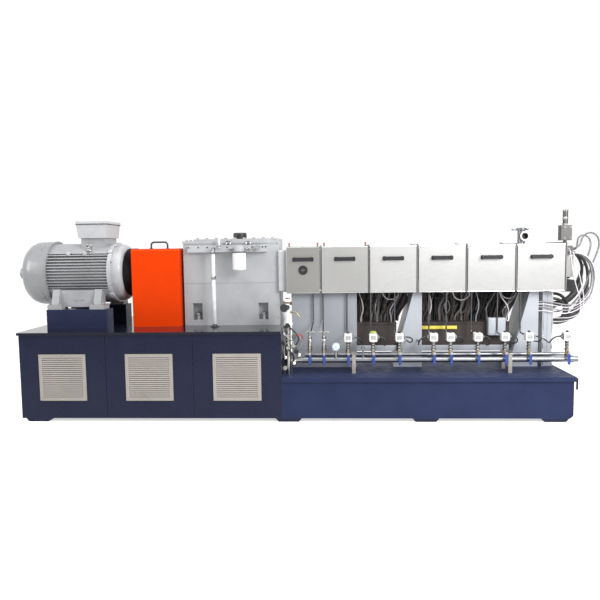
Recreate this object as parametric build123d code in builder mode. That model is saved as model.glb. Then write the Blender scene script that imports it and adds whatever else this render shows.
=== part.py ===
"""Twin-screw plastic extruder on its welded base: motor, gearbox, covered barrel and cooling-water line.

Millimetres. +X runs from the motor to the die, +Y from the operator's side to the back, +Z up.
The origin is on the floor, under the middle of the base.
"""

import math
import os

from build123d import *

os.makedirs("parts", exist_ok=True)

# Base: a tall cabinet under the drive and a low bed under the barrel
BASE_LENGTH = 4200.0
BASE_WIDTH = 1100.0
SKID_HEIGHT = 27.0
SKID_LENGTH = 200.0
SKID_SLOPE = 24.0
SKID_INSET = 30.0
CABINET_LENGTH = 2030.0
CABINET_HEIGHT = 649.0
BED_HEIGHT = 315.0
BED_CHAMFER = 22.0
BED_LIP = 34.0
BED_OVERHANG = 14.0
BED_CORNER = 12.0
PLATE_THICKNESS = 20.0
PLATE_OVERHANG = 14.0
PLATE_CORNER = 10.0
DOORS = 3
DOOR_SEAM = 4.0
SEAM_DEPTH = 6.0

# Vent panels in the cabinet's doors
VENT_WIDTH = 366.0
VENT_HEIGHT = 360.0
VENT_THICKNESS = 10.0
VENT_SILL = 140.0
SLOT_HEIGHT = 6.0
SLOT_CUT = 16.0
SLOT_SLANT = 32.0
SLOT_PITCH = 16.0
SLOT_MARGIN = 24.0
SLOTS = 20

# Motor and its stand
END_OVERHANG = 266.0
STAND_LEFT = 105.0
STAND_LENGTH = 497.0
STAND_WIDTH = 140.0
STAND_HEIGHT = 151.0
STAND_SPREAD = 590.0
SHAFT_HEIGHT = 289.0
HUB_RADIUS = 46.0
HUB_LENGTH = 47.0
HUB_TAPER = 8.0
COWL_RADIUS = 264.0
COWL_LENGTH = 310.0
COWL_DOME = 105.0
COWL_END_RADIUS = 120.0
DOME_ALONG = 0.3
DOME_ACROSS = 0.72
FRAME_LENGTH = 503.0
CORE_RADIUS = 224.0
FIN_RADIUS = 251.0
SMOOTH_RADIUS = 245.0
FIN_PITCH = 24.0
FIN_THICKNESS = 7.0
FINS = 12
FIN_RISE = 17.0
SHIELD_LENGTH = 112.0
SHIELD_RADIUS = 250.0
SHIELD_RIM = 30.0
SHIELD_BELL = 234.0
SHIELD_FACE = 190.0
SHIELD_DISH = 16.0
SHIELD_BEARING = 95.0
BEARING_EDGE = 6.0
SHAFT_RADIUS = 40.0
SHAFT_REACH = 124.0
FOOT_LENGTH = 118.0
FOOT_HEIGHT = 34.0
FOOT_OUTER = 285.0
FOOT_INNER = 165.0
FOOT_INSET = 18.0
FOOT_WEB = 160.0
WEB_LENGTH = 59.0
WEB_INSET = 12.0
WEB_LEAN = 40.0
WEB_STEP = 8.0
FOOT_PANEL = 14.0
PANEL_INSET = 62.0
PANEL_SILL = 16.0
PANEL_DROP = 6.0
BOX_LENGTH = 262.0
BOX_DEPTH = 340.0
BOX_HEIGHT = 136.0
BOX_TAPER = 15.0
BOX_RISE = 289.0
BOX_SHIFT = 105.0
NECK_LENGTH = 200.0
NECK_DEPTH = 260.0
NECK_ROOT = 100.0
BOX_LID = 18.0
BOX_LID_LAP = 3.0
BOX_CORNER = 16.0

# Coupling and its guard
COUPLING_RADIUS = 120.0
COUPLING_DISC = 46.0
COUPLING_GAP = 8.0
COUPLING_HUB = 72.0
GUARD_FROM_MOTOR = 86.0
GUARD_FROM_GEARBOX = 22.0
GUARD_WIDTH = 440.0
GUARD_ABOVE_AXIS = 194.0
GUARD_SHEET = 4.0
GUARD_BEND = 26.0
GUARD_HOLE = 100.0
HANDLE_SPAN = 140.0
HANDLE_RISE = 56.0
HANDLE_ROD = 7.0
HANDLE_BEND = 26.0
HANDLE_SHIFT = 24.0

# Gearbox
GEARBOX_LENGTH = 761.0
GEARBOX_FRONT = 160.0
GEARBOX_BACK = 230.0
GEARBOX_HEIGHT = 691.0
GEARBOX_INSET = 62.0
GEARBOX_LID = 22.0
LID_LAP = 6.0
LID_CORNER = 16.0
LID_PLATE = 14.0
LID_PLATE_FROM_LEFT = 84.0
LID_PLATE_INSET = 12.0
END_FLANGE = 22.0
END_FLANGE_RISE = 12.0
POCKET_WIDTH = 80.0
POCKET_HEIGHT = 139.0
POCKET_DEPTH = 60.0
POCKET_SILL = 44.0
POCKET_FROM_LEFT = 108.0
POCKET_FROM_RIGHT = 110.0
STUD_RADIUS = 12.0
STUD_HEIGHT = 60.0
INPUT_SHAFT_RADIUS = 38.0
BREATHER_RADIUS = 56.0
BREATHER_HEIGHT = 45.0
BREATHER_STEM = 30.0
BREATHER_RISE = 8.0
BREATHER_EDGE = 12.0
BREATHER_FROM_LEFT = 446.0

# Gearbox lubrication
LUBE_LENGTH = 648.0
LUBE_HEIGHT = 55.0
LUBE_DEPTH = 40.0
LUBE_DROP = 37.0
LUBE_FROM_LEFT = 45.0
FILTER_RADIUS = 54.0
FILTER_HEIGHT = 140.0
FILTER_REACH = 66.0
FILTER_FROM_LEFT = 476.0
FILTER_EDGE = 14.0
FILTER_SEAT = 6.0
FILTER_NECK = 40.0
FILTER_ARM = 68.0
ARM_INSET = 9.0
DRAIN_RADIUS = 11.0
DRAIN_REACH = 60.0
DRAIN_FROM_LEFT = 265.0
DRAIN_BEND = 30.0
DRAIN_COLLAR = 20.0
COLLAR_HEIGHT = 16.0

# Barrel
ADAPTER_LENGTH = 87.0
ADAPTER_WIDTH = 380.0
ADAPTER_HEIGHT = 340.0
ADAPTER_EDGE = 12.0
BODY_WIDTH = 164.0
BODY_HEIGHT = 146.0
FLANGE_WIDTH = 206.0
FLANGE_HEIGHT = 190.0
FLANGE_THICKNESS = 48.0
HEATER_WALL = 18.0
HEATER_MARGIN = 12.0
DIE_RADIUS = 95.0
DIE_LENGTH = 92.0
DIE_BORE = 28.0
DIE_BORE_DEPTH = 60.0
DIE_BOLT_CIRCLE = 75.0
DIE_BOLT_RADIUS = 6.5
DIE_BOLT_DEPTH = 30.0
DIE_BOLTS = 8
SHIELD_PLATE_LENGTH = 95.0
SHIELD_PLATE_TOP = 92.0
SHIELD_PLATE_BOTTOM = 76.0
SHIELD_PLATE_Y = 110.0
SHIELD_PLATE_SHEET = 3.0
END_BOX_LENGTH = 103.0
END_BOX_FRONT = -150.0
END_BOX_BACK = 30.0
END_BOX_TOP = 98.0
END_BOX_HEIGHT = 94.0
END_BOX_CORNER = 8.0

# Barrel covers and the arches between them
COVERS = 6
FIRST_COVER = 266.5
DIE_OVERHANG = 60.6
COVER_DEPTH = 220.0
COVER_ABOVE_AXIS = 194.0
COVER_BELOW_AXIS = 180.0
COVER_SHEET = 3.0
COVER_BEND = 9.0
COVER_GAP = 16.6
HINGE_ROD = 6.0
HINGE_RUNNING = 0.05
KNUCKLE_RADIUS = 9.5
ARCH_THICKNESS = 6.0
ARCH_PROUD = 9.0
ARCH_LAP = 2.0
BACK_SHEET = 3.0
BACK_GAP = 6.0
GRIP_LENGTH = 160.0
GRIP_DROP = 102.0
GRIP_HEIGHT = 30.0
GRIP_THICKNESS = 10.0
GRIP_REACH = 36.0
GRIP_POST = 20.0
KNOB_RADIUS = 37.0
KNOB_DEPTH = 10.0
KNOB_DROP = 188.0

# Barrel supports
SUPPORT_INSET = 400.0
SUPPORT_TOP_GAP = 8.0
FEED_SUPPORT_LEFT = 32.0
FEED_SUPPORT_LENGTH = 532.0
FEED_HEAD_LENGTH = 120.0
FEED_HEAD_WIDTH = 150.0
FEED_HEAD_LEFT = 70.0
PEDESTAL_TOP = 71.0
PEDESTAL_SLOPE = 0.263
PEDESTAL_PAST_ARCH = 45.2
PEDESTAL_PAST_JOINT = 10.0
PEDESTAL_HEAD_WIDTH = 180.0
TROUGH_DEPTH = 200.0
TROUGH_RISE = 123.0
TROUGH_HEIGHT = 237.0
TROUGH_LIP = 8.0
TROUGH_LIP_HEIGHT = 14.0
TROUGH_GAP_1 = 198.5
TROUGH_GAP_2 = 215.0
BOX_WIDTH = 133.0
BOX_TALL = 137.0
BOX_FROM_PEDESTAL = 262.0
BOX_DEEP = 60.0
BOX_LIFT = 135.0
DUCT_GAP = 35.95
DUCT_WIDTH = 84.0
DUCT_FRONT = -136.0
DUCT_DEPTH = 100.0
DUCT_HEIGHT = 600.0

# Vent port and melt-pressure sensor
VENT_INSET = 185.5
VENT_Y = 320.0
VENT_COLUMN = 32.0
VENT_COLLAR = 46.0
VENT_RIM = 14.0
VENT_FOOT = 20.0
VENT_RISE = 262.0
VENT_TOP = 66.0
VENT_MOUTH = 78.0
VENT_MOUTH_RADIUS = 42.0
VENT_BORE = 28.0
VENT_BORE_DEPTH = 60.0
SENSOR_PAST_BARREL = 61.5
GLAND_LENGTH = 74.0
GLAND_DEPTH = 120.0
GLAND_HEIGHT = 76.0
GLAND_RISE = 98.0
GLAND_SHIFT = 3.0
SENSOR_LENGTH = 84.0
SENSOR_DEPTH = 70.0
SENSOR_HEIGHT = 122.0
SENSOR_RISE = 218.0
SENSOR_STEM = 14.0
SADDLE_CLEARANCE = 0.02
SENSOR_CAP_RADIUS = 20.0
SENSOR_CAP_HEIGHT = 118.0

# Cooling-water line: the stations' places are those on a bed of the design length
SUPPLY_RADIUS = 21.0
SUPPLY_SETBACK = 170.0
SUPPLY_RISE = 102.0
RETURN_RADIUS = 15.0
RETURN_SETBACK = 300.0
RETURN_RISE = 118.0
LINE_START = 148.0
RETURN_START = 20.0
SUPPLY_PAST_BED = 89.0
RETURN_PAST_BED = 52.0
UNION_RADIUS = 27.0
UNION_LENGTH = 30.0
UNION_INSET = 34.0
BOSS_RADIUS = 11.0
BOSS_HEIGHT = 6.0
BRACKET_WIDTH = 28.0
BRACKET_SHEET = 6.0
BRACKETS = ((0, 43.0), (6, 37.0))
BED_DESIGN_LENGTH = 2170.0
STATIONS = (510.0, 704.0, 905.0, 1167.0, 1297.0, 1504.0, 1709.0, 1891.0, 2177.0)
MANUAL_STATIONS = (212.0, 322.0)
GAUGE_PLACE = 415.0
GAUGE_RADIUS = 33.0
GAUGE_DEPTH = 30.0
GAUGE_RISE = 86.0
GAUGE_STEM = 7.0
GAUGE_BEZEL = 4.0
GAUGE_RECESS = 6.0
BLEED_PLACE = 625.0
BLEED_HEIGHT = 82.0
BLEED_CAP = 16.0
VALVE_RADIUS = 14.0
VALVE_NUT = 18.0
NUT_HEIGHT = 13.0
VALVE_HEIGHT = 58.0
VALVE_STEM = 6.0
LEVER_ABOVE_STEM = 12.0
RISER_RADIUS = 8.0
RISER_NUT = 12.0
RISER_NUT_HEIGHT = 16.0
SOLENOID_RISE = 145.0
SOLENOID_WIDTH = 60.0
SOLENOID_HEIGHT = 64.0
SOLENOID_DEPTH = 52.0
SOLENOID_EDGE = 9.0
GLAND_RADIUS = 12.0
GLAND_REACH = 16.0
GLAND_SIDES = (1, 1, 1, -1, 1, 1, 1, 1, -1)
LEVER_LENGTH = 104.0
LEVER_WIDTH = 20.0
LEVER_SHEET = 5.0
LEVER_REACH = 45.0
TUBE_RADIUS = 6.0
TUBE_BEND = 24.0
TUBE_INSET = 50.0
TUBE_PAIR = 24.0
TUBE_TOP = 36.0
MANUAL_RISE = 110.0
MANUAL_SWEEP = 190.0
INLET_REACH = 106.0
INLET_RADIUS = 18.0
INLET_HEIGHT = 378.0
INLET_PIPE = 17.0
CROSS_RADIUS = 26.0
CROSS_HALF = 30.0
BRANCH_RISE = 107.0
BRANCH_RADIUS = 25.0
BRANCH_HEIGHT = 34.0
BRANCH_REACH = 70.0
BRANCH_FRONT = 12.0
BRANCH_SIDE = 14.0
STRAINER_SHIFT = 22.0
STRAINER_DROP = 50.0
STRAINER_RADIUS = 17.0
STRAINER_REACH = 66.0
ELBOW_RADIUS = 32.0
ELBOW_HEIGHT = 205.0
ELBOW_SOCKET = 6.0
ELBOW_SOCKET_HEIGHT = 24.0
ELBOW_EDGE = 14.0
ELBOW_DROP = 62.0
ELBOW_MOUTH = 28.0
ELBOW_MOUTH_REACH = 12.0
ELBOW_BORE = 20.0
ELBOW_BORE_DEPTH = 44.0
DRAIN_SPOUT_SETBACK = 46.0
DRAIN_SPOUT_REACH = 26.0
DRAIN_SPOUT_DROP = 106.0
DRAIN_SPOUT_RADIUS = 8.0
DRAIN_SPOUT_BEND = 16.0
CUT = 1.0
TUBE_MARGIN = 2.0

# Worked-out places
BASE_LEFT = -BASE_LENGTH / 2
BASE_RIGHT = BASE_LENGTH / 2
FRONT = -BASE_WIDTH / 2
CABINET_RIGHT = BASE_LEFT + CABINET_LENGTH
CABINET_TOP = SKID_HEIGHT + CABINET_HEIGHT
PLATE_TOP = CABINET_TOP + PLATE_THICKNESS
DECK = SKID_HEIGHT + BED_HEIGHT
STAND_TOP = PLATE_TOP + STAND_HEIGHT
AXIS_Z = STAND_TOP + SHAFT_HEIGHT
FAN_END = BASE_LEFT - END_OVERHANG
COWL_LEFT = FAN_END + HUB_LENGTH
FRAME_LEFT = COWL_LEFT + COWL_LENGTH
FRAME_RIGHT = FRAME_LEFT + FRAME_LENGTH
MOTOR_FACE = FRAME_RIGHT + SHIELD_LENGTH
FRAME_MIDDLE = (FRAME_LEFT + FRAME_RIGHT) / 2
GEARBOX_RIGHT = CABINET_RIGHT - GEARBOX_INSET
GEARBOX_LEFT = GEARBOX_RIGHT - GEARBOX_LENGTH
GEARBOX_TOP = PLATE_TOP + GEARBOX_HEIGHT
GUARD_LEFT = MOTOR_FACE + GUARD_FROM_MOTOR
GUARD_RIGHT = GEARBOX_LEFT - GUARD_FROM_GEARBOX
GUARD_TOP = AXIS_Z + GUARD_ABOVE_AXIS
LUBE_TOP = GEARBOX_TOP - LUBE_DROP
BARREL_LEFT = GEARBOX_RIGHT + ADAPTER_LENGTH
BARREL_RIGHT = BASE_RIGHT + DIE_OVERHANG
COVER_LENGTH = (BARREL_RIGHT - BARREL_LEFT - FIRST_COVER - COVERS * COVER_GAP) / (COVERS - 1)
COVER_TOP = AXIS_Z + COVER_ABOVE_AXIS
COVER_BOTTOM = AXIS_Z - COVER_BELOW_AXIS
SUPPORT_TOP = COVER_BOTTOM - SUPPORT_TOP_GAP
SUPPORT_DEPTH = BASE_WIDTH - 2 * SUPPORT_INSET
SUPPLY_Y = FRONT + SUPPLY_SETBACK
SUPPLY_Z = DECK + SUPPLY_RISE
RETURN_Y = FRONT + RETURN_SETBACK
RETURN_Z = DECK + RETURN_RISE
SOLENOID_BOTTOM = SUPPLY_Z + SOLENOID_RISE
TUBE_Y = -COVER_DEPTH + TUBE_INSET
LINE_LEFT = CABINET_RIGHT + LINE_START
SUPPLY_RIGHT = BASE_RIGHT + SUPPLY_PAST_BED
RETURN_RIGHT = BASE_RIGHT + RETURN_PAST_BED
BED_SHARE = (BASE_RIGHT - CABINET_RIGHT) / BED_DESIGN_LENGTH
STATION_XS = [CABINET_RIGHT + BED_SHARE * place for place in STATIONS]
MANUAL_XS = [CABINET_RIGHT + BED_SHARE * place for place in MANUAL_STATIONS]
BRACKET_XS = [STATION_XS[station] + past for station, past in BRACKETS]
GAUGE_X = CABINET_RIGHT + BED_SHARE * GAUGE_PLACE
BLEED_X = CABINET_RIGHT + BED_SHARE * BLEED_PLACE
SENSOR_X = BARREL_RIGHT + SENSOR_PAST_BARREL
VENT_X = BARREL_RIGHT - VENT_INSET


def save(piece, name):
    """Label a finished piece and write it under its node's name."""
    piece.part.label = name
    export_step(piece.part, f"parts/{name}.step")


def boxed(x0, x1, y0, y1, z0, z1, mode=Mode.ADD):
    """A block between two opposite corners, in the part's frame."""
    with Locations(((x0 + x1) / 2, (y0 + y1) / 2, (z0 + z1) / 2)):
        Box(abs(x1 - x0), abs(y1 - y0), abs(z1 - z0), mode=mode)


def rod(start, direction, radius, length, mode=Mode.ADD):
    """A round bar from a start point along a direction."""
    with BuildSketch(Plane(origin=start, z_dir=direction)) as profile:
        Circle(radius)
    extrude(profile.sketch, amount=length, mode=mode)


def bent_rod(points, bend, radius):
    """A round tube along straight runs joined by arcs."""
    with BuildLine() as route:
        FilletPolyline(*points, radius=bend)
    with BuildSketch(route.line ^ 0) as profile:
        Circle(radius)
    sweep(profile.sketch, path=route.line)


def corner_radii(points):
    """Largest arc that each inner point of a route allows: 0.45 of its shorter run over the tangent of half the turn."""
    radii = []
    for before, corner, after in zip(points, points[1:], points[2:]):
        first = Vector(*corner) - Vector(*before)
        second = Vector(*after) - Vector(*corner)
        half_turn = math.radians(first.get_angle(second)) / 2
        radii.append(0.45 * min(first.length, second.length) / math.tan(half_turn))
    return radii


def cord(points, diameter):
    """A cord's tube: straight runs joined by tangent arcs, each as large as its runs allow."""
    radii = corner_radii(points)
    with BuildLine() as route:
        FilletPolyline(*points, radius=radii)
    with BuildSketch(route.line ^ 0) as profile:
        Circle(diameter / 2)
    sweep(profile.sketch, path=route.line)
    return min(radii), sum(edge.length for edge in route.line.edges())


def cover_spans():
    """Left and right ends of each cover, from the gearbox to the die."""
    spans = []
    left = BARREL_LEFT
    for index in range(COVERS):
        length = FIRST_COVER if index == 0 else COVER_LENGTH
        spans.append((left, left + length))
        left += length + COVER_GAP
    return spans


def flange_middles():
    """Middles of the barrel's bolted joints: one at each arch and one half-way along each long cover."""
    middles = []
    for index, (left, right) in enumerate(cover_spans()):
        if index > 0:
            middles.append((left + right) / 2)
        middles.append(right + COVER_GAP / 2)
    return middles[:-1]


def heater_spans():
    """Ends of each heated stretch: between neighbouring bolted joints, from the second cover on."""
    ends = FLANGES + [BARREL_RIGHT]
    spans = []
    for left, right in zip(ends[:-1], ends[1:]):
        spans.append((left + FLANGE_THICKNESS / 2 + HEATER_MARGIN, right - FLANGE_THICKNESS / 2 - HEATER_MARGIN))
    return spans


def tube_port(x):
    """Nearest place along the barrel where a tube meets one flat side, and that side's distance from the axis."""
    places = [(BARREL_LEFT, FLANGES[0] - FLANGE_THICKNESS / 2, BODY_WIDTH / 2)]
    for middle in FLANGES:
        places.append((middle - FLANGE_THICKNESS / 2, middle + FLANGE_THICKNESS / 2, FLANGE_WIDTH / 2))
    for left, right in heater_spans():
        places.append((left, right, BODY_WIDTH / 2 + HEATER_WALL))
    fitted = []
    for left, right, side in places:
        nearest = min(max(x, left + TUBE_RADIUS + TUBE_MARGIN), right - TUBE_RADIUS - TUBE_MARGIN)
        fitted.append((abs(nearest - x), nearest, side))
    return min(fitted)[1:]


SPANS = cover_spans()
FLANGES = flange_middles()
HINGE_Y = COVER_DEPTH - KNUCKLE_RADIUS
HINGE_Z = COVER_TOP - KNUCKLE_RADIUS
ARCH_XS = [right + COVER_GAP / 2 for left, right in SPANS]
MOTOR_AXIS = Axis((0, 0, AXIS_Z), (1, 0, 0))
SHAFT_PLANE = Plane(origin=(0, 0, AXIS_Z), x_dir=(1, 0, 0), z_dir=(0, -1, 0))

# Skids: chamfered cross bars under the whole width
SKID_XS = (
    BASE_LEFT + SKID_INSET + SKID_LENGTH / 2,
    CABINET_RIGHT + SKID_LENGTH / 4,
    (CABINET_RIGHT + BASE_RIGHT) / 2,
    BASE_RIGHT - SKID_INSET - SKID_LENGTH / 2,
)
with BuildPart() as base_skids:
    with BuildSketch(Plane.XZ.offset(-FRONT)):
        for x in SKID_XS:
            with Locations((x, SKID_HEIGHT / 2)):
                Trapezoid(SKID_LENGTH, SKID_HEIGHT, math.degrees(math.atan2(SKID_HEIGHT, SKID_SLOPE)), rotation=180)
    extrude(amount=-BASE_WIDTH)
save(base_skids, "base_skids")

# Cabinet: closed housing with door seams and a recess behind each vent panel
DOOR_LENGTH = CABINET_LENGTH / DOORS
DOOR_MIDDLES = [BASE_LEFT + DOOR_LENGTH * (index + 0.5) for index in range(DOORS)]
VENT_MIDDLE_Z = SKID_HEIGHT + VENT_SILL + VENT_HEIGHT / 2
with BuildPart() as base_cabinet:
    boxed(BASE_LEFT, CABINET_RIGHT, FRONT, -FRONT, SKID_HEIGHT, CABINET_TOP)
    for side in (FRONT, -FRONT):
        for index in range(1, DOORS):
            x = BASE_LEFT + DOOR_LENGTH * index
            with Locations((x, side, (SKID_HEIGHT + CABINET_TOP) / 2)):
                Box(DOOR_SEAM, 2 * SEAM_DEPTH, CABINET_HEIGHT, mode=Mode.SUBTRACT)
save(base_cabinet, "base_cabinet")

with BuildPart() as vent_panels:
    for side in (FRONT, -FRONT):
        outward = math.copysign(1, side)
        face_y = side + outward * VENT_THICKNESS
        for x in DOOR_MIDDLES:
            with Locations((x, side + outward * VENT_THICKNESS / 2, VENT_MIDDLE_Z)):
                Box(VENT_WIDTH, VENT_THICKNESS, VENT_HEIGHT)
    for side in (FRONT, -FRONT):
        outward = math.copysign(1, side)
        for x in DOOR_MIDDLES:
            with BuildSketch(Plane.YZ.offset(x - VENT_WIDTH / 2 + SLOT_MARGIN)):
                with Locations((side + outward * VENT_THICKNESS, VENT_MIDDLE_Z)):
                    with GridLocations(0, SLOT_PITCH, 1, SLOTS):
                        Rectangle(SLOT_CUT, SLOT_HEIGHT, rotation=-outward * SLOT_SLANT)
            extrude(amount=VENT_WIDTH - 2 * SLOT_MARGIN, mode=Mode.SUBTRACT)
save(vent_panels, "vent_panels")

with BuildPart() as base_top_plate:
    boxed(
        BASE_LEFT - PLATE_OVERHANG, CABINET_RIGHT,
        FRONT - PLATE_OVERHANG, -FRONT + PLATE_OVERHANG,
        CABINET_TOP, PLATE_TOP,
    )
    edges = base_top_plate.edges().filter_by(Axis.Z)
    fillet(edges.group_by(Axis.X)[0], PLATE_CORNER)
save(base_top_plate, "base_top_plate")

# Low bed: a closed box under a top plate with a turned-down lip
with BuildPart() as base_bed:
    boxed(CABINET_RIGHT, BASE_RIGHT, FRONT, -FRONT, SKID_HEIGHT, DECK - BED_LIP)
    foot_edge = base_bed.edges().filter_by(Axis.Y).group_by(Axis.X)[-1].sort_by(Axis.Z)[0]
    chamfer(foot_edge, BED_CHAMFER)
    boxed(CABINET_RIGHT, BASE_RIGHT + BED_OVERHANG, FRONT - BED_OVERHANG, -FRONT + BED_OVERHANG,
          DECK - BED_LIP, DECK)
    lip_edges = base_bed.edges().filter_by(Axis.Z).group_by(Axis.X)[-1]
    fillet(lip_edges, BED_CORNER)
save(base_bed, "base_bed")

# Motor stand: two box beams across the feet
STAND_X0 = BASE_LEFT + STAND_LEFT
with BuildPart() as motor_stand:
    for side in (-1, 1):
        with Locations((STAND_X0 + STAND_LENGTH / 2, side * (STAND_SPREAD - STAND_WIDTH) / 2, PLATE_TOP + STAND_HEIGHT / 2)):
            Box(STAND_LENGTH, STAND_WIDTH, STAND_HEIGHT)
save(motor_stand, "motor_stand")

# Motor frame: ribbed body with feet and a saddle for the terminal box
with BuildPart() as motor_frame:
    with BuildSketch(Plane.YZ.offset(FRAME_LEFT)):
        with Locations((0, AXIS_Z)):
            Circle(SMOOTH_RADIUS)
        with Locations((0, AXIS_Z + FIN_RISE)):
            Rectangle(2 * SMOOTH_RADIUS, FINS * FIN_PITCH, mode=Mode.SUBTRACT)
            with GridLocations(0, FIN_PITCH, 1, FINS):
                Rectangle(2 * FIN_RADIUS, FIN_THICKNESS)
        with Locations((0, AXIS_Z)):
            Circle(FIN_RADIUS, mode=Mode.INTERSECT)
            Circle(CORE_RADIUS)
    extrude(amount=FRAME_LENGTH)
    foot_lefts = (FRAME_LEFT + FOOT_INSET, FRAME_RIGHT - FOOT_INSET - FOOT_LENGTH)
    for side in (-1, 1):
        for x0 in foot_lefts:
            boxed(x0, x0 + FOOT_LENGTH, side * FOOT_INNER, side * FOOT_OUTER, STAND_TOP, STAND_TOP + FOOT_HEIGHT)
            web_y = side * (FOOT_OUTER - WEB_INSET)
            with BuildSketch(Plane.YZ.offset(x0 + (FOOT_LENGTH - WEB_LENGTH) / 2)):
                with BuildLine():
                    Polyline(
                        (side * FOOT_INNER, STAND_TOP), (web_y, STAND_TOP),
                        (web_y, STAND_TOP + FOOT_HEIGHT + WEB_STEP),
                        (web_y - side * WEB_LEAN, STAND_TOP + FOOT_WEB),
                        (side * FOOT_INNER, STAND_TOP + FOOT_WEB), (side * FOOT_INNER, STAND_TOP),
                    )
                make_face()
            extrude(amount=WEB_LENGTH)
        panel_y = side * (FOOT_OUTER - PANEL_INSET)
        boxed(foot_lefts[0] + FOOT_LENGTH / 2, foot_lefts[1] + FOOT_LENGTH / 2,
              panel_y - FOOT_PANEL / 2, panel_y + FOOT_PANEL / 2,
              STAND_TOP + PANEL_SILL, STAND_TOP + FOOT_WEB - PANEL_DROP)
    box_x = FRAME_MIDDLE + BOX_SHIFT
    boxed(box_x - NECK_LENGTH / 2, box_x + NECK_LENGTH / 2, -NECK_DEPTH / 2, NECK_DEPTH / 2,
          AXIS_Z + NECK_ROOT, AXIS_Z + BOX_RISE)
save(motor_frame, "motor_frame")

with BuildPart() as motor_fan_cowl:
    with BuildSketch(SHAFT_PLANE):
        with BuildLine():
            Polyline(
                (FRAME_LEFT, 0), (FRAME_LEFT, COWL_RADIUS), (COWL_LEFT + COWL_DOME, COWL_RADIUS),
            )
            ThreePointArc(
                (COWL_LEFT + COWL_DOME, COWL_RADIUS),
                (COWL_LEFT + DOME_ALONG * COWL_DOME, COWL_END_RADIUS + DOME_ACROSS * (COWL_RADIUS - COWL_END_RADIUS)),
                (COWL_LEFT, COWL_END_RADIUS),
            )
            Polyline(
                (COWL_LEFT, COWL_END_RADIUS), (COWL_LEFT, HUB_RADIUS), (FAN_END, HUB_RADIUS - HUB_TAPER),
                (FAN_END, 0), (FRAME_LEFT, 0),
            )
        make_face()
    revolve(axis=MOTOR_AXIS)
save(motor_fan_cowl, "motor_fan_cowl")

with BuildPart() as motor_end_shield:
    with BuildSketch(SHAFT_PLANE):
        with BuildLine():
            Polyline(
                (FRAME_RIGHT, 0), (FRAME_RIGHT, SHIELD_RADIUS), (FRAME_RIGHT + SHIELD_RIM, SHIELD_RADIUS),
                (FRAME_RIGHT + SHIELD_RIM, SHIELD_BELL), (MOTOR_FACE - SHIELD_BELL + SHIELD_FACE, SHIELD_BELL),
            )
            RadiusArc(
                (MOTOR_FACE - SHIELD_BELL + SHIELD_FACE, SHIELD_BELL), (MOTOR_FACE, SHIELD_FACE),
                SHIELD_BELL - SHIELD_FACE,
            )
            Polyline(
                (MOTOR_FACE, SHIELD_FACE), (MOTOR_FACE - SHIELD_DISH, SHIELD_FACE - SHIELD_DISH),
                (MOTOR_FACE - SHIELD_DISH, SHIELD_BEARING), (MOTOR_FACE, SHIELD_BEARING - BEARING_EDGE),
                (MOTOR_FACE, SHAFT_RADIUS), (MOTOR_FACE + SHAFT_REACH, SHAFT_RADIUS),
                (MOTOR_FACE + SHAFT_REACH, 0), (FRAME_RIGHT, 0),
            )
        make_face()
    revolve(axis=MOTOR_AXIS)
save(motor_end_shield, "motor_end_shield")

# Terminal box: narrower at its foot, with a flat lid
with BuildPart() as motor_terminal_box:
    box_foot = AXIS_Z + BOX_RISE
    with BuildSketch(Plane.XY.offset(box_foot)):
        with Locations((box_x, 0)):
            RectangleRounded(BOX_LENGTH - 2 * BOX_TAPER, BOX_DEPTH - 2 * BOX_TAPER, BOX_CORNER)
    with BuildSketch(Plane.XY.offset(box_foot + BOX_HEIGHT - BOX_LID)):
        with Locations((box_x, 0)):
            RectangleRounded(BOX_LENGTH - 2 * BOX_LID_LAP, BOX_DEPTH - 2 * BOX_LID_LAP, BOX_CORNER)
    loft()
    with BuildSketch(Plane.XY.offset(box_foot + BOX_HEIGHT - BOX_LID)):
        with Locations((box_x, 0)):
            RectangleRounded(BOX_LENGTH, BOX_DEPTH, BOX_CORNER)
    extrude(amount=BOX_LID)
save(motor_terminal_box, "motor_terminal_box")

# Coupling: two flanged hubs, the first on the motor's shaft, the second on the gearbox's
COUPLING_LEFT = MOTOR_FACE + SHAFT_REACH
with BuildPart() as coupling:
    hub_length = (GEARBOX_LEFT - COUPLING_LEFT - COUPLING_GAP) / 2
    rod((COUPLING_LEFT, 0, AXIS_Z), (1, 0, 0), COUPLING_HUB, hub_length - COUPLING_DISC)
    rod((COUPLING_LEFT + hub_length - COUPLING_DISC, 0, AXIS_Z), (1, 0, 0), COUPLING_RADIUS, COUPLING_DISC)
    rod((COUPLING_LEFT + hub_length, 0, AXIS_Z), (1, 0, 0), COUPLING_HUB, COUPLING_GAP)
    rod((COUPLING_LEFT + hub_length + COUPLING_GAP, 0, AXIS_Z), (1, 0, 0), COUPLING_RADIUS, COUPLING_DISC)
    rod((COUPLING_LEFT + hub_length + COUPLING_GAP + COUPLING_DISC, 0, AXIS_Z), (1, 0, 0),
        INPUT_SHAFT_RADIUS, hub_length - COUPLING_DISC)
save(coupling, "coupling")

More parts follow.
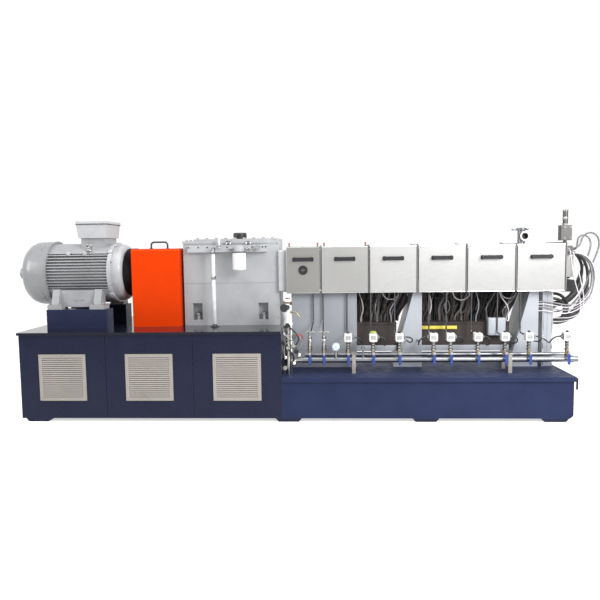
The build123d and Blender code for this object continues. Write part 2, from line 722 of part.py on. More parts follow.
with BuildPart() as coupling_guard:
    guard_height = GUARD_TOP - PLATE_TOP
    guard_middle_z = PLATE_TOP + guard_height / 2
    with BuildSketch(Plane.YZ.offset(GUARD_LEFT)):
        with Locations((0, guard_middle_z)):
            guard_outline = Rectangle(GUARD_WIDTH, guard_height)
        fillet(guard_outline.vertices().group_by(Axis.Y)[-1], GUARD_BEND)
    extrude(amount=GUARD_RIGHT - GUARD_LEFT)
    with BuildSketch(Plane.YZ.offset(GUARD_LEFT + GUARD_SHEET)):
        with Locations((0, guard_middle_z - GUARD_SHEET)):
            guard_inside = Rectangle(GUARD_WIDTH - 2 * GUARD_SHEET, guard_height)
        fillet(guard_inside.vertices().group_by(Axis.Y)[-1], GUARD_BEND - GUARD_SHEET)
    extrude(amount=GUARD_RIGHT - GUARD_LEFT - 2 * GUARD_SHEET, mode=Mode.SUBTRACT)
    rod((GUARD_LEFT - CUT, 0, AXIS_Z), (1, 0, 0), GUARD_HOLE, GUARD_RIGHT - GUARD_LEFT + 2 * CUT, Mode.SUBTRACT)
save(coupling_guard, "coupling_guard")

with BuildPart() as guard_handle:
    middle = (GUARD_LEFT + GUARD_RIGHT) / 2 - HANDLE_SHIFT
    x0 = middle - HANDLE_SPAN / 2
    x1 = middle + HANDLE_SPAN / 2
    top = GUARD_TOP + HANDLE_RISE
    bent_rod([(x0, 0, GUARD_TOP), (x0, 0, top), (x1, 0, top), (x1, 0, GUARD_TOP)], HANDLE_BEND, HANDLE_ROD)
save(guard_handle, "guard_handle")

# Gearbox housing with a bolt pocket at each end of its foot
with BuildPart() as gearbox_housing:
    boxed(GEARBOX_LEFT, GEARBOX_RIGHT, -GEARBOX_FRONT, GEARBOX_BACK, PLATE_TOP, GEARBOX_TOP - GEARBOX_LID)
    for x in (GEARBOX_LEFT + POCKET_FROM_LEFT, GEARBOX_RIGHT - POCKET_FROM_RIGHT):
        for side in (-GEARBOX_FRONT, GEARBOX_BACK):
            inward = -math.copysign(1, side)
            boxed(x - POCKET_WIDTH / 2, x + POCKET_WIDTH / 2, side - inward, side + inward * POCKET_DEPTH,
                  PLATE_TOP + POCKET_SILL, PLATE_TOP + POCKET_SILL + POCKET_HEIGHT, Mode.SUBTRACT)
            rod((x, side + inward * POCKET_DEPTH / 2, PLATE_TOP + POCKET_SILL), (0, 0, 1), STUD_RADIUS, STUD_HEIGHT)
    boxed(GEARBOX_RIGHT, GEARBOX_RIGHT + END_FLANGE, -GEARBOX_FRONT, GEARBOX_BACK,
          PLATE_TOP, GEARBOX_TOP + END_FLANGE_RISE)
save(gearbox_housing, "gearbox_housing")

with BuildPart() as gearbox_lid:
    boxed(GEARBOX_LEFT - LID_LAP, GEARBOX_RIGHT, -GEARBOX_FRONT - LID_LAP, GEARBOX_BACK + LID_LAP,
          GEARBOX_TOP - GEARBOX_LID, GEARBOX_TOP)
    fillet(gearbox_lid.edges().filter_by(Axis.Z).group_by(Axis.X)[0], LID_CORNER)
    boxed(GEARBOX_LEFT + LID_PLATE_FROM_LEFT, GEARBOX_RIGHT, -GEARBOX_FRONT + LID_PLATE_INSET,
          GEARBOX_BACK - LID_PLATE_INSET, GEARBOX_TOP, GEARBOX_TOP + LID_PLATE)
save(gearbox_lid, "gearbox_lid")

with BuildPart() as breather:
    bx = GEARBOX_LEFT + BREATHER_FROM_LEFT
    bz = GEARBOX_TOP + LID_PLATE
    rod((bx, 0, bz), (0, 0, 1), BREATHER_STEM, BREATHER_RISE)
    rod((bx, 0, bz + BREATHER_RISE), (0, 0, 1), BREATHER_RADIUS, BREATHER_HEIGHT)
    fillet(breather.faces().sort_by(Axis.Z)[-1].edges(), BREATHER_EDGE)
save(breather, "breather")

# Lubrication block along the front of the gearbox, its filter and the drain pipe
LUBE_X0 = GEARBOX_LEFT + LUBE_FROM_LEFT
LUBE_FRONT = -GEARBOX_FRONT - LUBE_DEPTH
FILTER_X = GEARBOX_LEFT + FILTER_FROM_LEFT
FILTER_Y = LUBE_FRONT - FILTER_REACH
with BuildPart() as lube_block:
    boxed(LUBE_X0, LUBE_X0 + LUBE_LENGTH, LUBE_FRONT, -GEARBOX_FRONT, LUBE_TOP - LUBE_HEIGHT, LUBE_TOP)
    boxed(FILTER_X - FILTER_ARM / 2, FILTER_X + FILTER_ARM / 2, FILTER_Y, LUBE_FRONT,
          LUBE_TOP - LUBE_HEIGHT + ARM_INSET, LUBE_TOP - ARM_INSET)
    rod((FILTER_X, FILTER_Y, LUBE_TOP - LUBE_HEIGHT - FILTER_SEAT), (0, 0, 1), FILTER_NECK, LUBE_HEIGHT)
save(lube_block, "lube_block")

with BuildPart() as oil_filter:
    filter_top = LUBE_TOP - LUBE_HEIGHT - FILTER_SEAT
    rod((FILTER_X, FILTER_Y, filter_top - FILTER_HEIGHT), (0, 0, 1), FILTER_RADIUS, FILTER_HEIGHT)
    fillet(oil_filter.faces().sort_by(Axis.Z)[0].edges(), FILTER_EDGE)
save(oil_filter, "oil_filter")

with BuildPart() as oil_drain_pipe:
    dx = GEARBOX_LEFT + DRAIN_FROM_LEFT
    dy = LUBE_FRONT - DRAIN_REACH
    dz = LUBE_TOP - LUBE_HEIGHT / 2
    bent_rod([(dx, LUBE_FRONT, dz), (dx, dy, dz), (dx, dy, PLATE_TOP)], DRAIN_BEND, DRAIN_RADIUS)
    rod((dx, dy, PLATE_TOP), (0, 0, 1), DRAIN_COLLAR, COLLAR_HEIGHT)
save(oil_drain_pipe, "oil_drain_pipe")

# Adapter between gearbox and barrel
with BuildPart() as barrel_adapter:
    boxed(GEARBOX_RIGHT + END_FLANGE, BARREL_LEFT, -ADAPTER_WIDTH / 2, ADAPTER_WIDTH / 2,
          AXIS_Z - ADAPTER_HEIGHT / 2, AXIS_Z + ADAPTER_HEIGHT / 2)
    chamfer(barrel_adapter.edges().filter_by(Axis.X), ADAPTER_EDGE)
save(barrel_adapter, "barrel_adapter")

# Barrel: a row of bolted sections
with BuildPart() as barrel:
    boxed(BARREL_LEFT, BARREL_RIGHT, -BODY_WIDTH / 2, BODY_WIDTH / 2, AXIS_Z - BODY_HEIGHT / 2,
          AXIS_Z + BODY_HEIGHT / 2)
    for x in FLANGES:
        with Locations((x, 0, AXIS_Z)):
            Box(FLANGE_THICKNESS, FLANGE_WIDTH, FLANGE_HEIGHT)
    boxed(BARREL_RIGHT - FLANGE_THICKNESS / 2, BARREL_RIGHT, -FLANGE_WIDTH / 2, FLANGE_WIDTH / 2,
          AXIS_Z - FLANGE_HEIGHT / 2, AXIS_Z + FLANGE_HEIGHT / 2)
save(barrel, "barrel")

with BuildPart() as barrel_heaters:
    for left, right in heater_spans():
        boxed(left, right, -BODY_WIDTH / 2 - HEATER_WALL, BODY_WIDTH / 2 + HEATER_WALL,
              AXIS_Z - BODY_HEIGHT / 2 - HEATER_WALL, AXIS_Z + BODY_HEIGHT / 2 + HEATER_WALL)
    boxed(BARREL_LEFT, BARREL_RIGHT, -BODY_WIDTH / 2, BODY_WIDTH / 2, AXIS_Z - BODY_HEIGHT / 2,
          AXIS_Z + BODY_HEIGHT / 2, Mode.SUBTRACT)
save(barrel_heaters, "barrel_heaters")

with BuildPart() as die_head:
    rod((BARREL_RIGHT, 0, AXIS_Z), (1, 0, 0), DIE_RADIUS, DIE_LENGTH)
    rod((BARREL_RIGHT + DIE_LENGTH - DIE_BORE_DEPTH, 0, AXIS_Z), (1, 0, 0), DIE_BORE, DIE_BORE_DEPTH, Mode.SUBTRACT)
    with BuildSketch(Plane(origin=(BARREL_RIGHT + DIE_LENGTH, 0, AXIS_Z), z_dir=(1, 0, 0))):
        with PolarLocations(DIE_BOLT_CIRCLE, DIE_BOLTS):
            Circle(DIE_BOLT_RADIUS)
    extrude(amount=-DIE_BOLT_DEPTH, mode=Mode.SUBTRACT)
save(die_head, "die_head")

# Arches between the covers, each straddling a barrel joint
with BuildPart() as cover_arches:
    for x in ARCH_XS:
        boxed(x - ARCH_THICKNESS / 2, x + ARCH_THICKNESS / 2, -COVER_DEPTH - ARCH_LAP, COVER_DEPTH + ARCH_LAP,
              COVER_BOTTOM, COVER_TOP + ARCH_PROUD)
        boxed(x - ARCH_THICKNESS, x + ARCH_THICKNESS, -FLANGE_WIDTH / 2, FLANGE_WIDTH / 2,
              COVER_BOTTOM - CUT, AXIS_Z + FLANGE_HEIGHT / 2, Mode.SUBTRACT)
    rod((BARREL_LEFT, HINGE_Y, HINGE_Z), (1, 0, 0), HINGE_ROD, ARCH_XS[-1] - BARREL_LEFT)
save(cover_arches, "cover_arches")

# Fixed back sheets between the arches, and a plate on each side of the die head
ARCH_END = ARCH_XS[-1] + ARCH_THICKNESS / 2
with BuildPart() as cover_backs:
    back_left = BARREL_LEFT
    for x in ARCH_XS:
        boxed(back_left, x - ARCH_THICKNESS / 2, COVER_DEPTH - BACK_SHEET, COVER_DEPTH,
              COVER_BOTTOM, HINGE_Z - KNUCKLE_RADIUS - BACK_GAP)
        back_left = x + ARCH_THICKNESS / 2
    for side in (-1, 1):
        boxed(ARCH_END, ARCH_END + SHIELD_PLATE_LENGTH, side * SHIELD_PLATE_Y,
              side * (SHIELD_PLATE_Y + SHIELD_PLATE_SHEET), AXIS_Z - SHIELD_PLATE_BOTTOM, AXIS_Z + SHIELD_PLATE_TOP)
save(cover_backs, "cover_backs")

# Connection box under the die head, on the last arch
with BuildPart() as end_box:
    boxed(ARCH_END, ARCH_END + END_BOX_LENGTH, END_BOX_FRONT, END_BOX_BACK,
          AXIS_Z - END_BOX_TOP - END_BOX_HEIGHT, AXIS_Z - END_BOX_TOP)
    fillet(end_box.faces().sort_by(Axis.X)[-1].edges(), END_BOX_CORNER)
save(end_box, "end_box")


def cover(left, right):
    """One cover: a front and a top sheet folded from one piece, with a round bead on the hinge line."""
    with BuildPart() as piece:
        with BuildSketch(Plane.YZ.offset(left)):
            with BuildLine():
                FilletPolyline(
                    (HINGE_Y, COVER_TOP), (-COVER_DEPTH, COVER_TOP), (-COVER_DEPTH, COVER_BOTTOM),
                    radius=COVER_BEND,
                )
                Polyline(
                    (-COVER_DEPTH, COVER_BOTTOM), (-COVER_DEPTH + COVER_SHEET, COVER_BOTTOM),
                )
                FilletPolyline(
                    (-COVER_DEPTH + COVER_SHEET, COVER_BOTTOM), (-COVER_DEPTH + COVER_SHEET, COVER_TOP - COVER_SHEET),
                    (HINGE_Y, COVER_TOP - COVER_SHEET), radius=COVER_BEND - COVER_SHEET,
                )
                Polyline((HINGE_Y, COVER_TOP - COVER_SHEET), (HINGE_Y, COVER_TOP))
            make_face()
        extrude(amount=right - left)
        rod((left, HINGE_Y, HINGE_Z), (1, 0, 0), KNUCKLE_RADIUS, right - left)
        rod((left, HINGE_Y, HINGE_Z), (1, 0, 0), HINGE_ROD + HINGE_RUNNING, right - left, Mode.SUBTRACT)
    return piece


def grip(middle, with_cap):
    """Bridge handle on a cover's front, and on the feed cover a round cap under it."""
    z = COVER_TOP - GRIP_DROP
    with BuildPart() as piece:
        for side in (-1, 1):
            x = middle + side * (GRIP_LENGTH - GRIP_POST) / 2
            boxed(x - GRIP_POST / 2, x + GRIP_POST / 2, -COVER_DEPTH - GRIP_REACH + GRIP_THICKNESS / 2, -COVER_DEPTH,
                  z - GRIP_POST / 2, z + GRIP_POST / 2)
        with BuildSketch(Plane.XZ.offset(COVER_DEPTH + GRIP_REACH)):
            with Locations((middle, z)):
                SlotOverall(GRIP_LENGTH, GRIP_HEIGHT)
        extrude(amount=-GRIP_THICKNESS)
        if with_cap:
            rod((middle, -COVER_DEPTH, COVER_TOP - KNOB_DROP), (0, -1, 0), KNOB_RADIUS, KNOB_DEPTH)
    return piece


for index, (left, right) in enumerate(SPANS):
    save(cover(left, right), f"cover_{index + 1}")
    save(grip((left + right) / 2, index == 0), f"cover_grip_{index + 1}")

# Feed-end support cabinet and the two tapered pedestals
PEDESTAL_RIGHT_1 = ARCH_XS[2] + PEDESTAL_PAST_ARCH
PEDESTAL_RIGHT_2 = FLANGES[-1] + PEDESTAL_PAST_JOINT
FEED_X0 = BARREL_LEFT + FEED_SUPPORT_LEFT
BODY_BOTTOM = AXIS_Z - BODY_HEIGHT / 2
FLANGE_BOTTOM = AXIS_Z - FLANGE_HEIGHT / 2
with BuildPart() as feed_support:
    boxed(FEED_X0, FEED_X0 + FEED_SUPPORT_LENGTH, -SUPPORT_DEPTH / 2, SUPPORT_DEPTH / 2, DECK, SUPPORT_TOP)
    boxed(FEED_X0 + FEED_HEAD_LEFT, FEED_X0 + FEED_HEAD_LEFT + FEED_HEAD_LENGTH, -FEED_HEAD_WIDTH / 2,
          FEED_HEAD_WIDTH / 2, SUPPORT_TOP, BODY_BOTTOM)
save(feed_support, "feed_support")

with BuildPart() as barrel_pedestals:
    rise = SUPPORT_TOP - DECK
    for right in (PEDESTAL_RIGHT_1, PEDESTAL_RIGHT_2):
        with BuildSketch(Plane.XZ.offset(SUPPORT_DEPTH / 2)):
            with BuildLine():
                Polyline(
                    (right, DECK), (right, SUPPORT_TOP), (right - PEDESTAL_TOP, SUPPORT_TOP),
                    (right - PEDESTAL_TOP - PEDESTAL_SLOPE * rise, DECK), (right, DECK),
                )
            make_face()
        extrude(amount=-SUPPORT_DEPTH)
        boxed(right - PEDESTAL_TOP, right, -PEDESTAL_HEAD_WIDTH / 2, PEDESTAL_HEAD_WIDTH / 2, SUPPORT_TOP, FLANGE_BOTTOM)
save(barrel_pedestals, "barrel_pedestals")

TROUGH_SPANS = (
    (FEED_X0 + FEED_SUPPORT_LENGTH, PEDESTAL_RIGHT_1 - TROUGH_GAP_1),
    (PEDESTAL_RIGHT_1, PEDESTAL_RIGHT_2 - TROUGH_GAP_2),
)
TROUGH_BOTTOM = DECK + TROUGH_RISE
TROUGH_TOP = TROUGH_BOTTOM + TROUGH_HEIGHT
BOX_RIGHT = PEDESTAL_RIGHT_2 - BOX_FROM_PEDESTAL
with BuildPart() as wiring_trough:
    for left, right in TROUGH_SPANS:
        boxed(left, right, -TROUGH_DEPTH / 2, TROUGH_DEPTH / 2, TROUGH_BOTTOM, TROUGH_TOP)
        boxed(left, right, -TROUGH_DEPTH / 2 - TROUGH_LIP, -TROUGH_DEPTH / 2, TROUGH_TOP - TROUGH_LIP_HEIGHT, TROUGH_TOP)
    boxed(BOX_RIGHT - BOX_WIDTH, BOX_RIGHT, -TROUGH_DEPTH / 2 - BOX_DEEP, -TROUGH_DEPTH / 2,
          TROUGH_BOTTOM + BOX_LIFT, TROUGH_BOTTOM + BOX_LIFT + BOX_TALL)
save(wiring_trough, "wiring_trough")

DUCT_LEFT = PEDESTAL_RIGHT_2 + DUCT_GAP
with BuildPart() as cable_duct:
    boxed(DUCT_LEFT, DUCT_LEFT + DUCT_WIDTH, DUCT_FRONT, DUCT_FRONT + DUCT_DEPTH, DECK, DECK + DUCT_HEIGHT)
save(cable_duct, "cable_duct")

# Vent port: a column behind the last cover with a clamped side mouth
with BuildPart() as vent_port:
    vent_z = AXIS_Z + VENT_RISE
    rod((VENT_X, VENT_Y, AXIS_Z - VENT_FOOT), (0, 0, 1), VENT_COLUMN, VENT_RISE + VENT_TOP + VENT_FOOT)
    rod((VENT_X, VENT_Y, vent_z), (0, -1, 0), VENT_COLUMN, VENT_MOUTH)
    rod((VENT_X, VENT_Y - VENT_MOUTH + VENT_RIM, vent_z), (0, -1, 0), VENT_MOUTH_RADIUS, VENT_RIM)
    rod((VENT_X, VENT_Y, vent_z + VENT_TOP - VENT_RIM), (0, 0, 1), VENT_COLLAR, VENT_RIM)
    rod((VENT_X, COVER_DEPTH, AXIS_Z), (0, 1, 0), VENT_COLUMN, VENT_Y - COVER_DEPTH)
    rod((VENT_X, VENT_Y - VENT_MOUTH - CUT, vent_z), (0, 1, 0), VENT_BORE, VENT_BORE_DEPTH, Mode.SUBTRACT)
save(vent_port, "vent_port")

with BuildPart() as melt_sensor:
    sensor_z = AXIS_Z + SENSOR_RISE
    rod((SENSOR_X, 0, AXIS_Z), (0, 0, 1), SENSOR_STEM, SENSOR_RISE)
    rod((BARREL_RIGHT, 0, AXIS_Z), (1, 0, 0), DIE_RADIUS + SADDLE_CLEARANCE, DIE_LENGTH, Mode.SUBTRACT)
    gland_right = SENSOR_X + GLAND_LENGTH / 2 + GLAND_SHIFT
    boxed(gland_right - GLAND_LENGTH, gland_right, -GLAND_DEPTH / 2, GLAND_DEPTH / 2,
          AXIS_Z + GLAND_RISE, AXIS_Z + GLAND_RISE + GLAND_HEIGHT)
    boxed(SENSOR_X - SENSOR_LENGTH / 2, SENSOR_X + SENSOR_LENGTH / 2, -SENSOR_DEPTH / 2, SENSOR_DEPTH / 2,
          sensor_z, sensor_z + SENSOR_HEIGHT)
    rod((SENSOR_X, 0, sensor_z + SENSOR_HEIGHT), (0, 0, 1), SENSOR_CAP_RADIUS, SENSOR_CAP_HEIGHT)
save(melt_sensor, "melt_sensor")

# Cooling-water line: supply and return pipes with a union near the end
with BuildPart() as water_pipes:
    rod((LINE_LEFT, SUPPLY_Y, SUPPLY_Z), (1, 0, 0), SUPPLY_RADIUS, SUPPLY_RIGHT - LINE_LEFT)
    for x in STATION_XS + MANUAL_XS:
        rod((x, SUPPLY_Y, SUPPLY_Z), (0, 0, 1), BOSS_RADIUS, SUPPLY_RADIUS + BOSS_HEIGHT)
    rod((SUPPLY_RIGHT - UNION_INSET - UNION_LENGTH, SUPPLY_Y, SUPPLY_Z), (1, 0, 0), UNION_RADIUS, UNION_LENGTH)
    rod((BLEED_X, SUPPLY_Y, SUPPLY_Z), (0, 0, 1), GAUGE_STEM, SUPPLY_RADIUS + BLEED_HEIGHT)
    rod((BLEED_X, SUPPLY_Y, SUPPLY_Z + SUPPLY_RADIUS + BLEED_HEIGHT - BLEED_CAP), (0, 0, 1), 2 * GAUGE_STEM, BLEED_CAP)
    rod((LINE_LEFT + RETURN_START, RETURN_Y, RETURN_Z), (1, 0, 0), RETURN_RADIUS,
        RETURN_RIGHT - LINE_LEFT - RETURN_START)
save(water_pipes, "water_pipes")

# Portal brackets of flat bar: a front upright, an arm over the pipes and a rear upright
with BuildPart() as line_brackets:
    arm_z = RETURN_Z + RETURN_RADIUS
    front_y = SUPPLY_Y - SUPPLY_RADIUS
    rear_y = RETURN_Y + RETURN_RADIUS
    for x in BRACKET_XS:
        with BuildSketch(Plane.YZ.offset(x - BRACKET_WIDTH / 2)):
            with BuildLine():
                Polyline(
                    (front_y - BRACKET_SHEET, DECK), (front_y, DECK), (front_y, arm_z), (rear_y, arm_z),
                    (rear_y, DECK), (rear_y + BRACKET_SHEET, DECK),
                    (rear_y + BRACKET_SHEET, arm_z + BRACKET_SHEET),
                    (front_y - BRACKET_SHEET, arm_z + BRACKET_SHEET), (front_y - BRACKET_SHEET, DECK),
                )
            make_face()
        extrude(amount=BRACKET_WIDTH)
save(line_brackets, "line_brackets")

with BuildPart() as pressure_gauge:
    gauge_z = SUPPLY_Z + SUPPLY_RADIUS + GAUGE_RISE
    rod((GAUGE_X, SUPPLY_Y, SUPPLY_Z), (0, 0, 1), GAUGE_STEM, GAUGE_RISE)
    rod((GAUGE_X, SUPPLY_Y + GAUGE_DEPTH / 2, gauge_z), (0, -1, 0), GAUGE_RADIUS, GAUGE_DEPTH)
    rod((GAUGE_X, SUPPLY_Y - GAUGE_DEPTH / 2, gauge_z), (0, 1, 0), GAUGE_RADIUS - GAUGE_BEZEL, GAUGE_RECESS,
        Mode.SUBTRACT)
    rod((LINE_LEFT, SUPPLY_Y, SUPPLY_Z), (1, 0, 0), SUPPLY_RADIUS, GAUGE_X + GAUGE_RADIUS - LINE_LEFT, Mode.SUBTRACT)
save(pressure_gauge, "pressure_gauge")

VALVE_FOOT = SUPPLY_Z + SUPPLY_RADIUS + BOSS_HEIGHT
VALVE_TOP = VALVE_FOOT + VALVE_HEIGHT
with BuildPart() as shutoff_valves:
    for x in STATION_XS + MANUAL_XS:
        for z in (VALVE_FOOT, VALVE_TOP - NUT_HEIGHT):
            with BuildSketch(Plane.XY.offset(z)):
                with Locations((x, SUPPLY_Y)):
                    RegularPolygon(VALVE_NUT, 6)
            extrude(amount=NUT_HEIGHT)
        rod((x, SUPPLY_Y, VALVE_FOOT), (0, 0, 1), VALVE_RADIUS, VALVE_HEIGHT)
        rod((x, SUPPLY_Y, VALVE_FOOT + VALVE_HEIGHT / 2), (0, -1, 0), VALVE_STEM, LEVER_REACH)
save(shutoff_valves, "shutoff_valves")

with BuildPart() as valve_levers:
    lever_y = SUPPLY_Y - LEVER_REACH
    lever_top = VALVE_FOOT + VALVE_HEIGHT / 2 + LEVER_ABOVE_STEM
    for x in STATION_XS + MANUAL_XS:
        with BuildSketch(Plane.XZ.offset(-lever_y)):
            with Locations((x, lever_top - LEVER_LENGTH / 2)):
                SlotOverall(LEVER_LENGTH, LEVER_WIDTH, rotation=90)
        extrude(amount=LEVER_SHEET)
save(valve_levers, "valve_levers")

with BuildPart() as solenoid_valves:
    for x in STATION_XS:
        boxed(x - SOLENOID_WIDTH / 2, x + SOLENOID_WIDTH / 2, SUPPLY_Y - SOLENOID_DEPTH / 2,
              SUPPLY_Y + SOLENOID_DEPTH / 2, SOLENOID_BOTTOM, SOLENOID_BOTTOM + SOLENOID_HEIGHT)
    fillet(solenoid_valves.edges().filter_by(Axis.Y), SOLENOID_EDGE)
    for x, side in zip(STATION_XS, GLAND_SIDES):
        rod((x + side * SOLENOID_WIDTH / 2, SUPPLY_Y, SOLENOID_BOTTOM + SOLENOID_HEIGHT / 2), (side, 0, 0),
            GLAND_RADIUS, GLAND_REACH)
save(solenoid_valves, "solenoid_valves")

# Coolant tubes: short risers to the solenoid valves, then a tube from each up to the barrel
with BuildPart() as coolant_tubes:
    tube_z = SOLENOID_BOTTOM + SOLENOID_HEIGHT / 2
    top_z = AXIS_Z - TUBE_TOP
    for x in STATION_XS:
        rod((x, SUPPLY_Y, VALVE_TOP), (0, 0, 1), RISER_RADIUS, SOLENOID_BOTTOM - VALVE_TOP)
        rod((x, SUPPLY_Y, (VALVE_TOP + SOLENOID_BOTTOM - RISER_NUT_HEIGHT) / 2), (0, 0, 1), RISER_NUT, RISER_NUT_HEIGHT)
    for x in STATION_XS[:-1]:
        tube_x, side = tube_port(x)
        bent_rod([(tube_x, SUPPLY_Y + SOLENOID_DEPTH / 2, tube_z), (tube_x, TUBE_Y, tube_z),
                  (tube_x, TUBE_Y, top_z), (tube_x, -side, top_z)], TUBE_BEND, TUBE_RADIUS)
    for index, x in enumerate(MANUAL_XS):
        tube_x, side = tube_port(x)
        shift = TUBE_PAIR if index == 0 else 0
        bent_rod([(tube_x, SUPPLY_Y, VALVE_TOP), (tube_x, SUPPLY_Y, VALVE_TOP + MANUAL_RISE),
                  (tube_x + shift, TUBE_Y, VALVE_TOP + MANUAL_SWEEP), (tube_x + shift, TUBE_Y, top_z),
                  (tube_x + shift, -side, top_z)], TUBE_BEND, TUBE_RADIUS)
save(coolant_tubes, "coolant_tubes")

# Water inlet at the left end: strainer, cross valve and the riser elbow above them
INLET_X = LINE_LEFT - INLET_REACH
with BuildPart() as water_inlet:
    branch_z = SUPPLY_Z + BRANCH_RISE
    rod((INLET_X, SUPPLY_Y, SUPPLY_Z), (1, 0, 0), INLET_PIPE, LINE_LEFT - INLET_X)
    rod((INLET_X, SUPPLY_Y, DECK), (0, 0, 1), INLET_RADIUS, INLET_HEIGHT)
    rod((INLET_X, SUPPLY_Y, SUPPLY_Z - CROSS_HALF), (0, 0, 1), CROSS_RADIUS, 2 * CROSS_HALF)
    rod((INLET_X, SUPPLY_Y, branch_z - BRANCH_HEIGHT / 2), (0, 0, 1), BRANCH_RADIUS, BRANCH_HEIGHT)
    rod((INLET_X, SUPPLY_Y, branch_z), (0, -1, 0), BRANCH_FRONT, BRANCH_REACH)
    rod((INLET_X, SUPPLY_Y, branch_z), (1, 0, 0), BRANCH_SIDE, BRANCH_REACH)
    rod((INLET_X - STRAINER_SHIFT, SUPPLY_Y, SUPPLY_Z - STRAINER_DROP), (0, -1, 0), STRAINER_RADIUS, STRAINER_REACH)
save(water_inlet, "water_inlet")

with BuildPart() as inlet_elbow:
    foot_z = DECK + INLET_HEIGHT
    mouth_y = SUPPLY_Y - ELBOW_RADIUS - ELBOW_MOUTH_REACH
    mouth_z = foot_z + ELBOW_HEIGHT - ELBOW_DROP
    rod((INLET_X, SUPPLY_Y, foot_z), (0, 0, 1), ELBOW_RADIUS, ELBOW_HEIGHT)
    rod((INLET_X, SUPPLY_Y, foot_z), (0, 0, 1), ELBOW_RADIUS + ELBOW_SOCKET, ELBOW_SOCKET_HEIGHT)
    rod((INLET_X, mouth_y, mouth_z), (0, 1, 0), ELBOW_MOUTH, ELBOW_RADIUS)
    rod((INLET_X, mouth_y - CUT, mouth_z), (0, 1, 0), ELBOW_BORE, ELBOW_BORE_DEPTH, Mode.SUBTRACT)
    fillet(inlet_elbow.faces().sort_by(Axis.Z)[-1].edges(), ELBOW_EDGE)
save(inlet_elbow, "inlet_elbow")

# Rubber drain spout over the bed's front corner
with BuildPart() as drain_spout:
    spout_y = FRONT + DRAIN_SPOUT_SETBACK
    spout_x = BASE_RIGHT + BED_OVERHANG
    bent_rod([(spout_x, spout_y, DECK - BED_LIP / 2), (spout_x + DRAIN_SPOUT_REACH, spout_y, DECK - BED_LIP / 2),
              (spout_x + DRAIN_SPOUT_REACH, spout_y, DECK - DRAIN_SPOUT_DROP)], DRAIN_SPOUT_BEND, DRAIN_SPOUT_RADIUS)
save(drain_spout, "drain_spout")

# Cords: conduits and cables between the end of the barrel, the pedestals, the duct and the trough
CONDUIT = 13.0
POWER = 24.0
HEATER_CABLE = 10.0
SIGNAL = 8.0
VALVE_CONDUIT = 11.0
HEATER_LEAD = 10.0
SENSOR_CONDUIT_ROUTES = (
    ((2262.1, -20, 1290), (2302, -20, 1290), (2331, -27, 1312), (2341, -30, 1354), (2356, -36, 1391),
     (2389, -45, 1413), (2431, -43, 1410), (2464, -41, 1384), (2480, -40, 1341), (2475, -40, 1288),
     (2455, -40, 1227), (2428, -40, 1160), (2404, -46, 1088), (2376, -70, 1017), (2340, -96, 950),
     (2295, -102, 889), (2242, -117, 837), (2183, -123, 800), (2124, -126, 781), (2090, -126, 781)),
    ((2262.1, 14, 1274), (2302, 14, 1274), (2330, 26, 1294), (2340, 42, 1334), (2354, 64, 1371),
     (2384, 86, 1394), (2424, 96, 1396), (2458, 102, 1374), (2476, 105, 1337), (2474, 107, 1287),
     (2458, 108, 1229), (2432, 108, 1166), (2400, 108, 1099), (2374, 106, 1028), (2342, 95, 959),
     (2300, 80, 895), (2250, 80, 841), (2193, 80, 801), (2131, 80, 777), (2072, 80, 769),
     (2020, 80, 771), (1970.05, 80, 771)),
)
POWER_ROUTES = (
    ((2262.1, 24, 1254), (2308, 24, 1254), (2356, 33, 1233), (2395, 42, 1193), (2422, 45, 1137),
     (2433, 45, 1070), (2431, 40, 996), (2415, 36, 920), (2385, 32, 847), (2343, 17, 784), (2288, 1, 735),
     (2223, 0, 703), (2156, 0, 691), (2094, 0, 696), (2039, 0, 704), (1970.05, 0, 704)),
    ((2262.1, 52, 1254), (2304, 52, 1254), (2345, 61, 1234), (2378, 78, 1196), (2396, 78, 1145),
     (2398, 76, 1087), (2385, 74, 1026), (2360, 64, 965), (2324, 48, 910), (2275, 38, 866),
     (2217, 36, 838), (2156, 35, 825), (2096, 34, 823), (2041, 34, 829), (1970.05, 34, 829)),
    ((2090, -62, 926), (2142, -62, 926), (2195, -62, 898), (2230, -62, 842), (2230, -62, 774),
     (2197, -62, 717), (2145, -62, 687), (2090, -62, 687)),
    ((2090, -94, 886), (2130, -94, 886), (2170, -94, 863), (2195, -94, 820), (2195, -94, 768),
     (2170, -94, 724), (2130, -94, 701), (2090, -94, 701)),
)
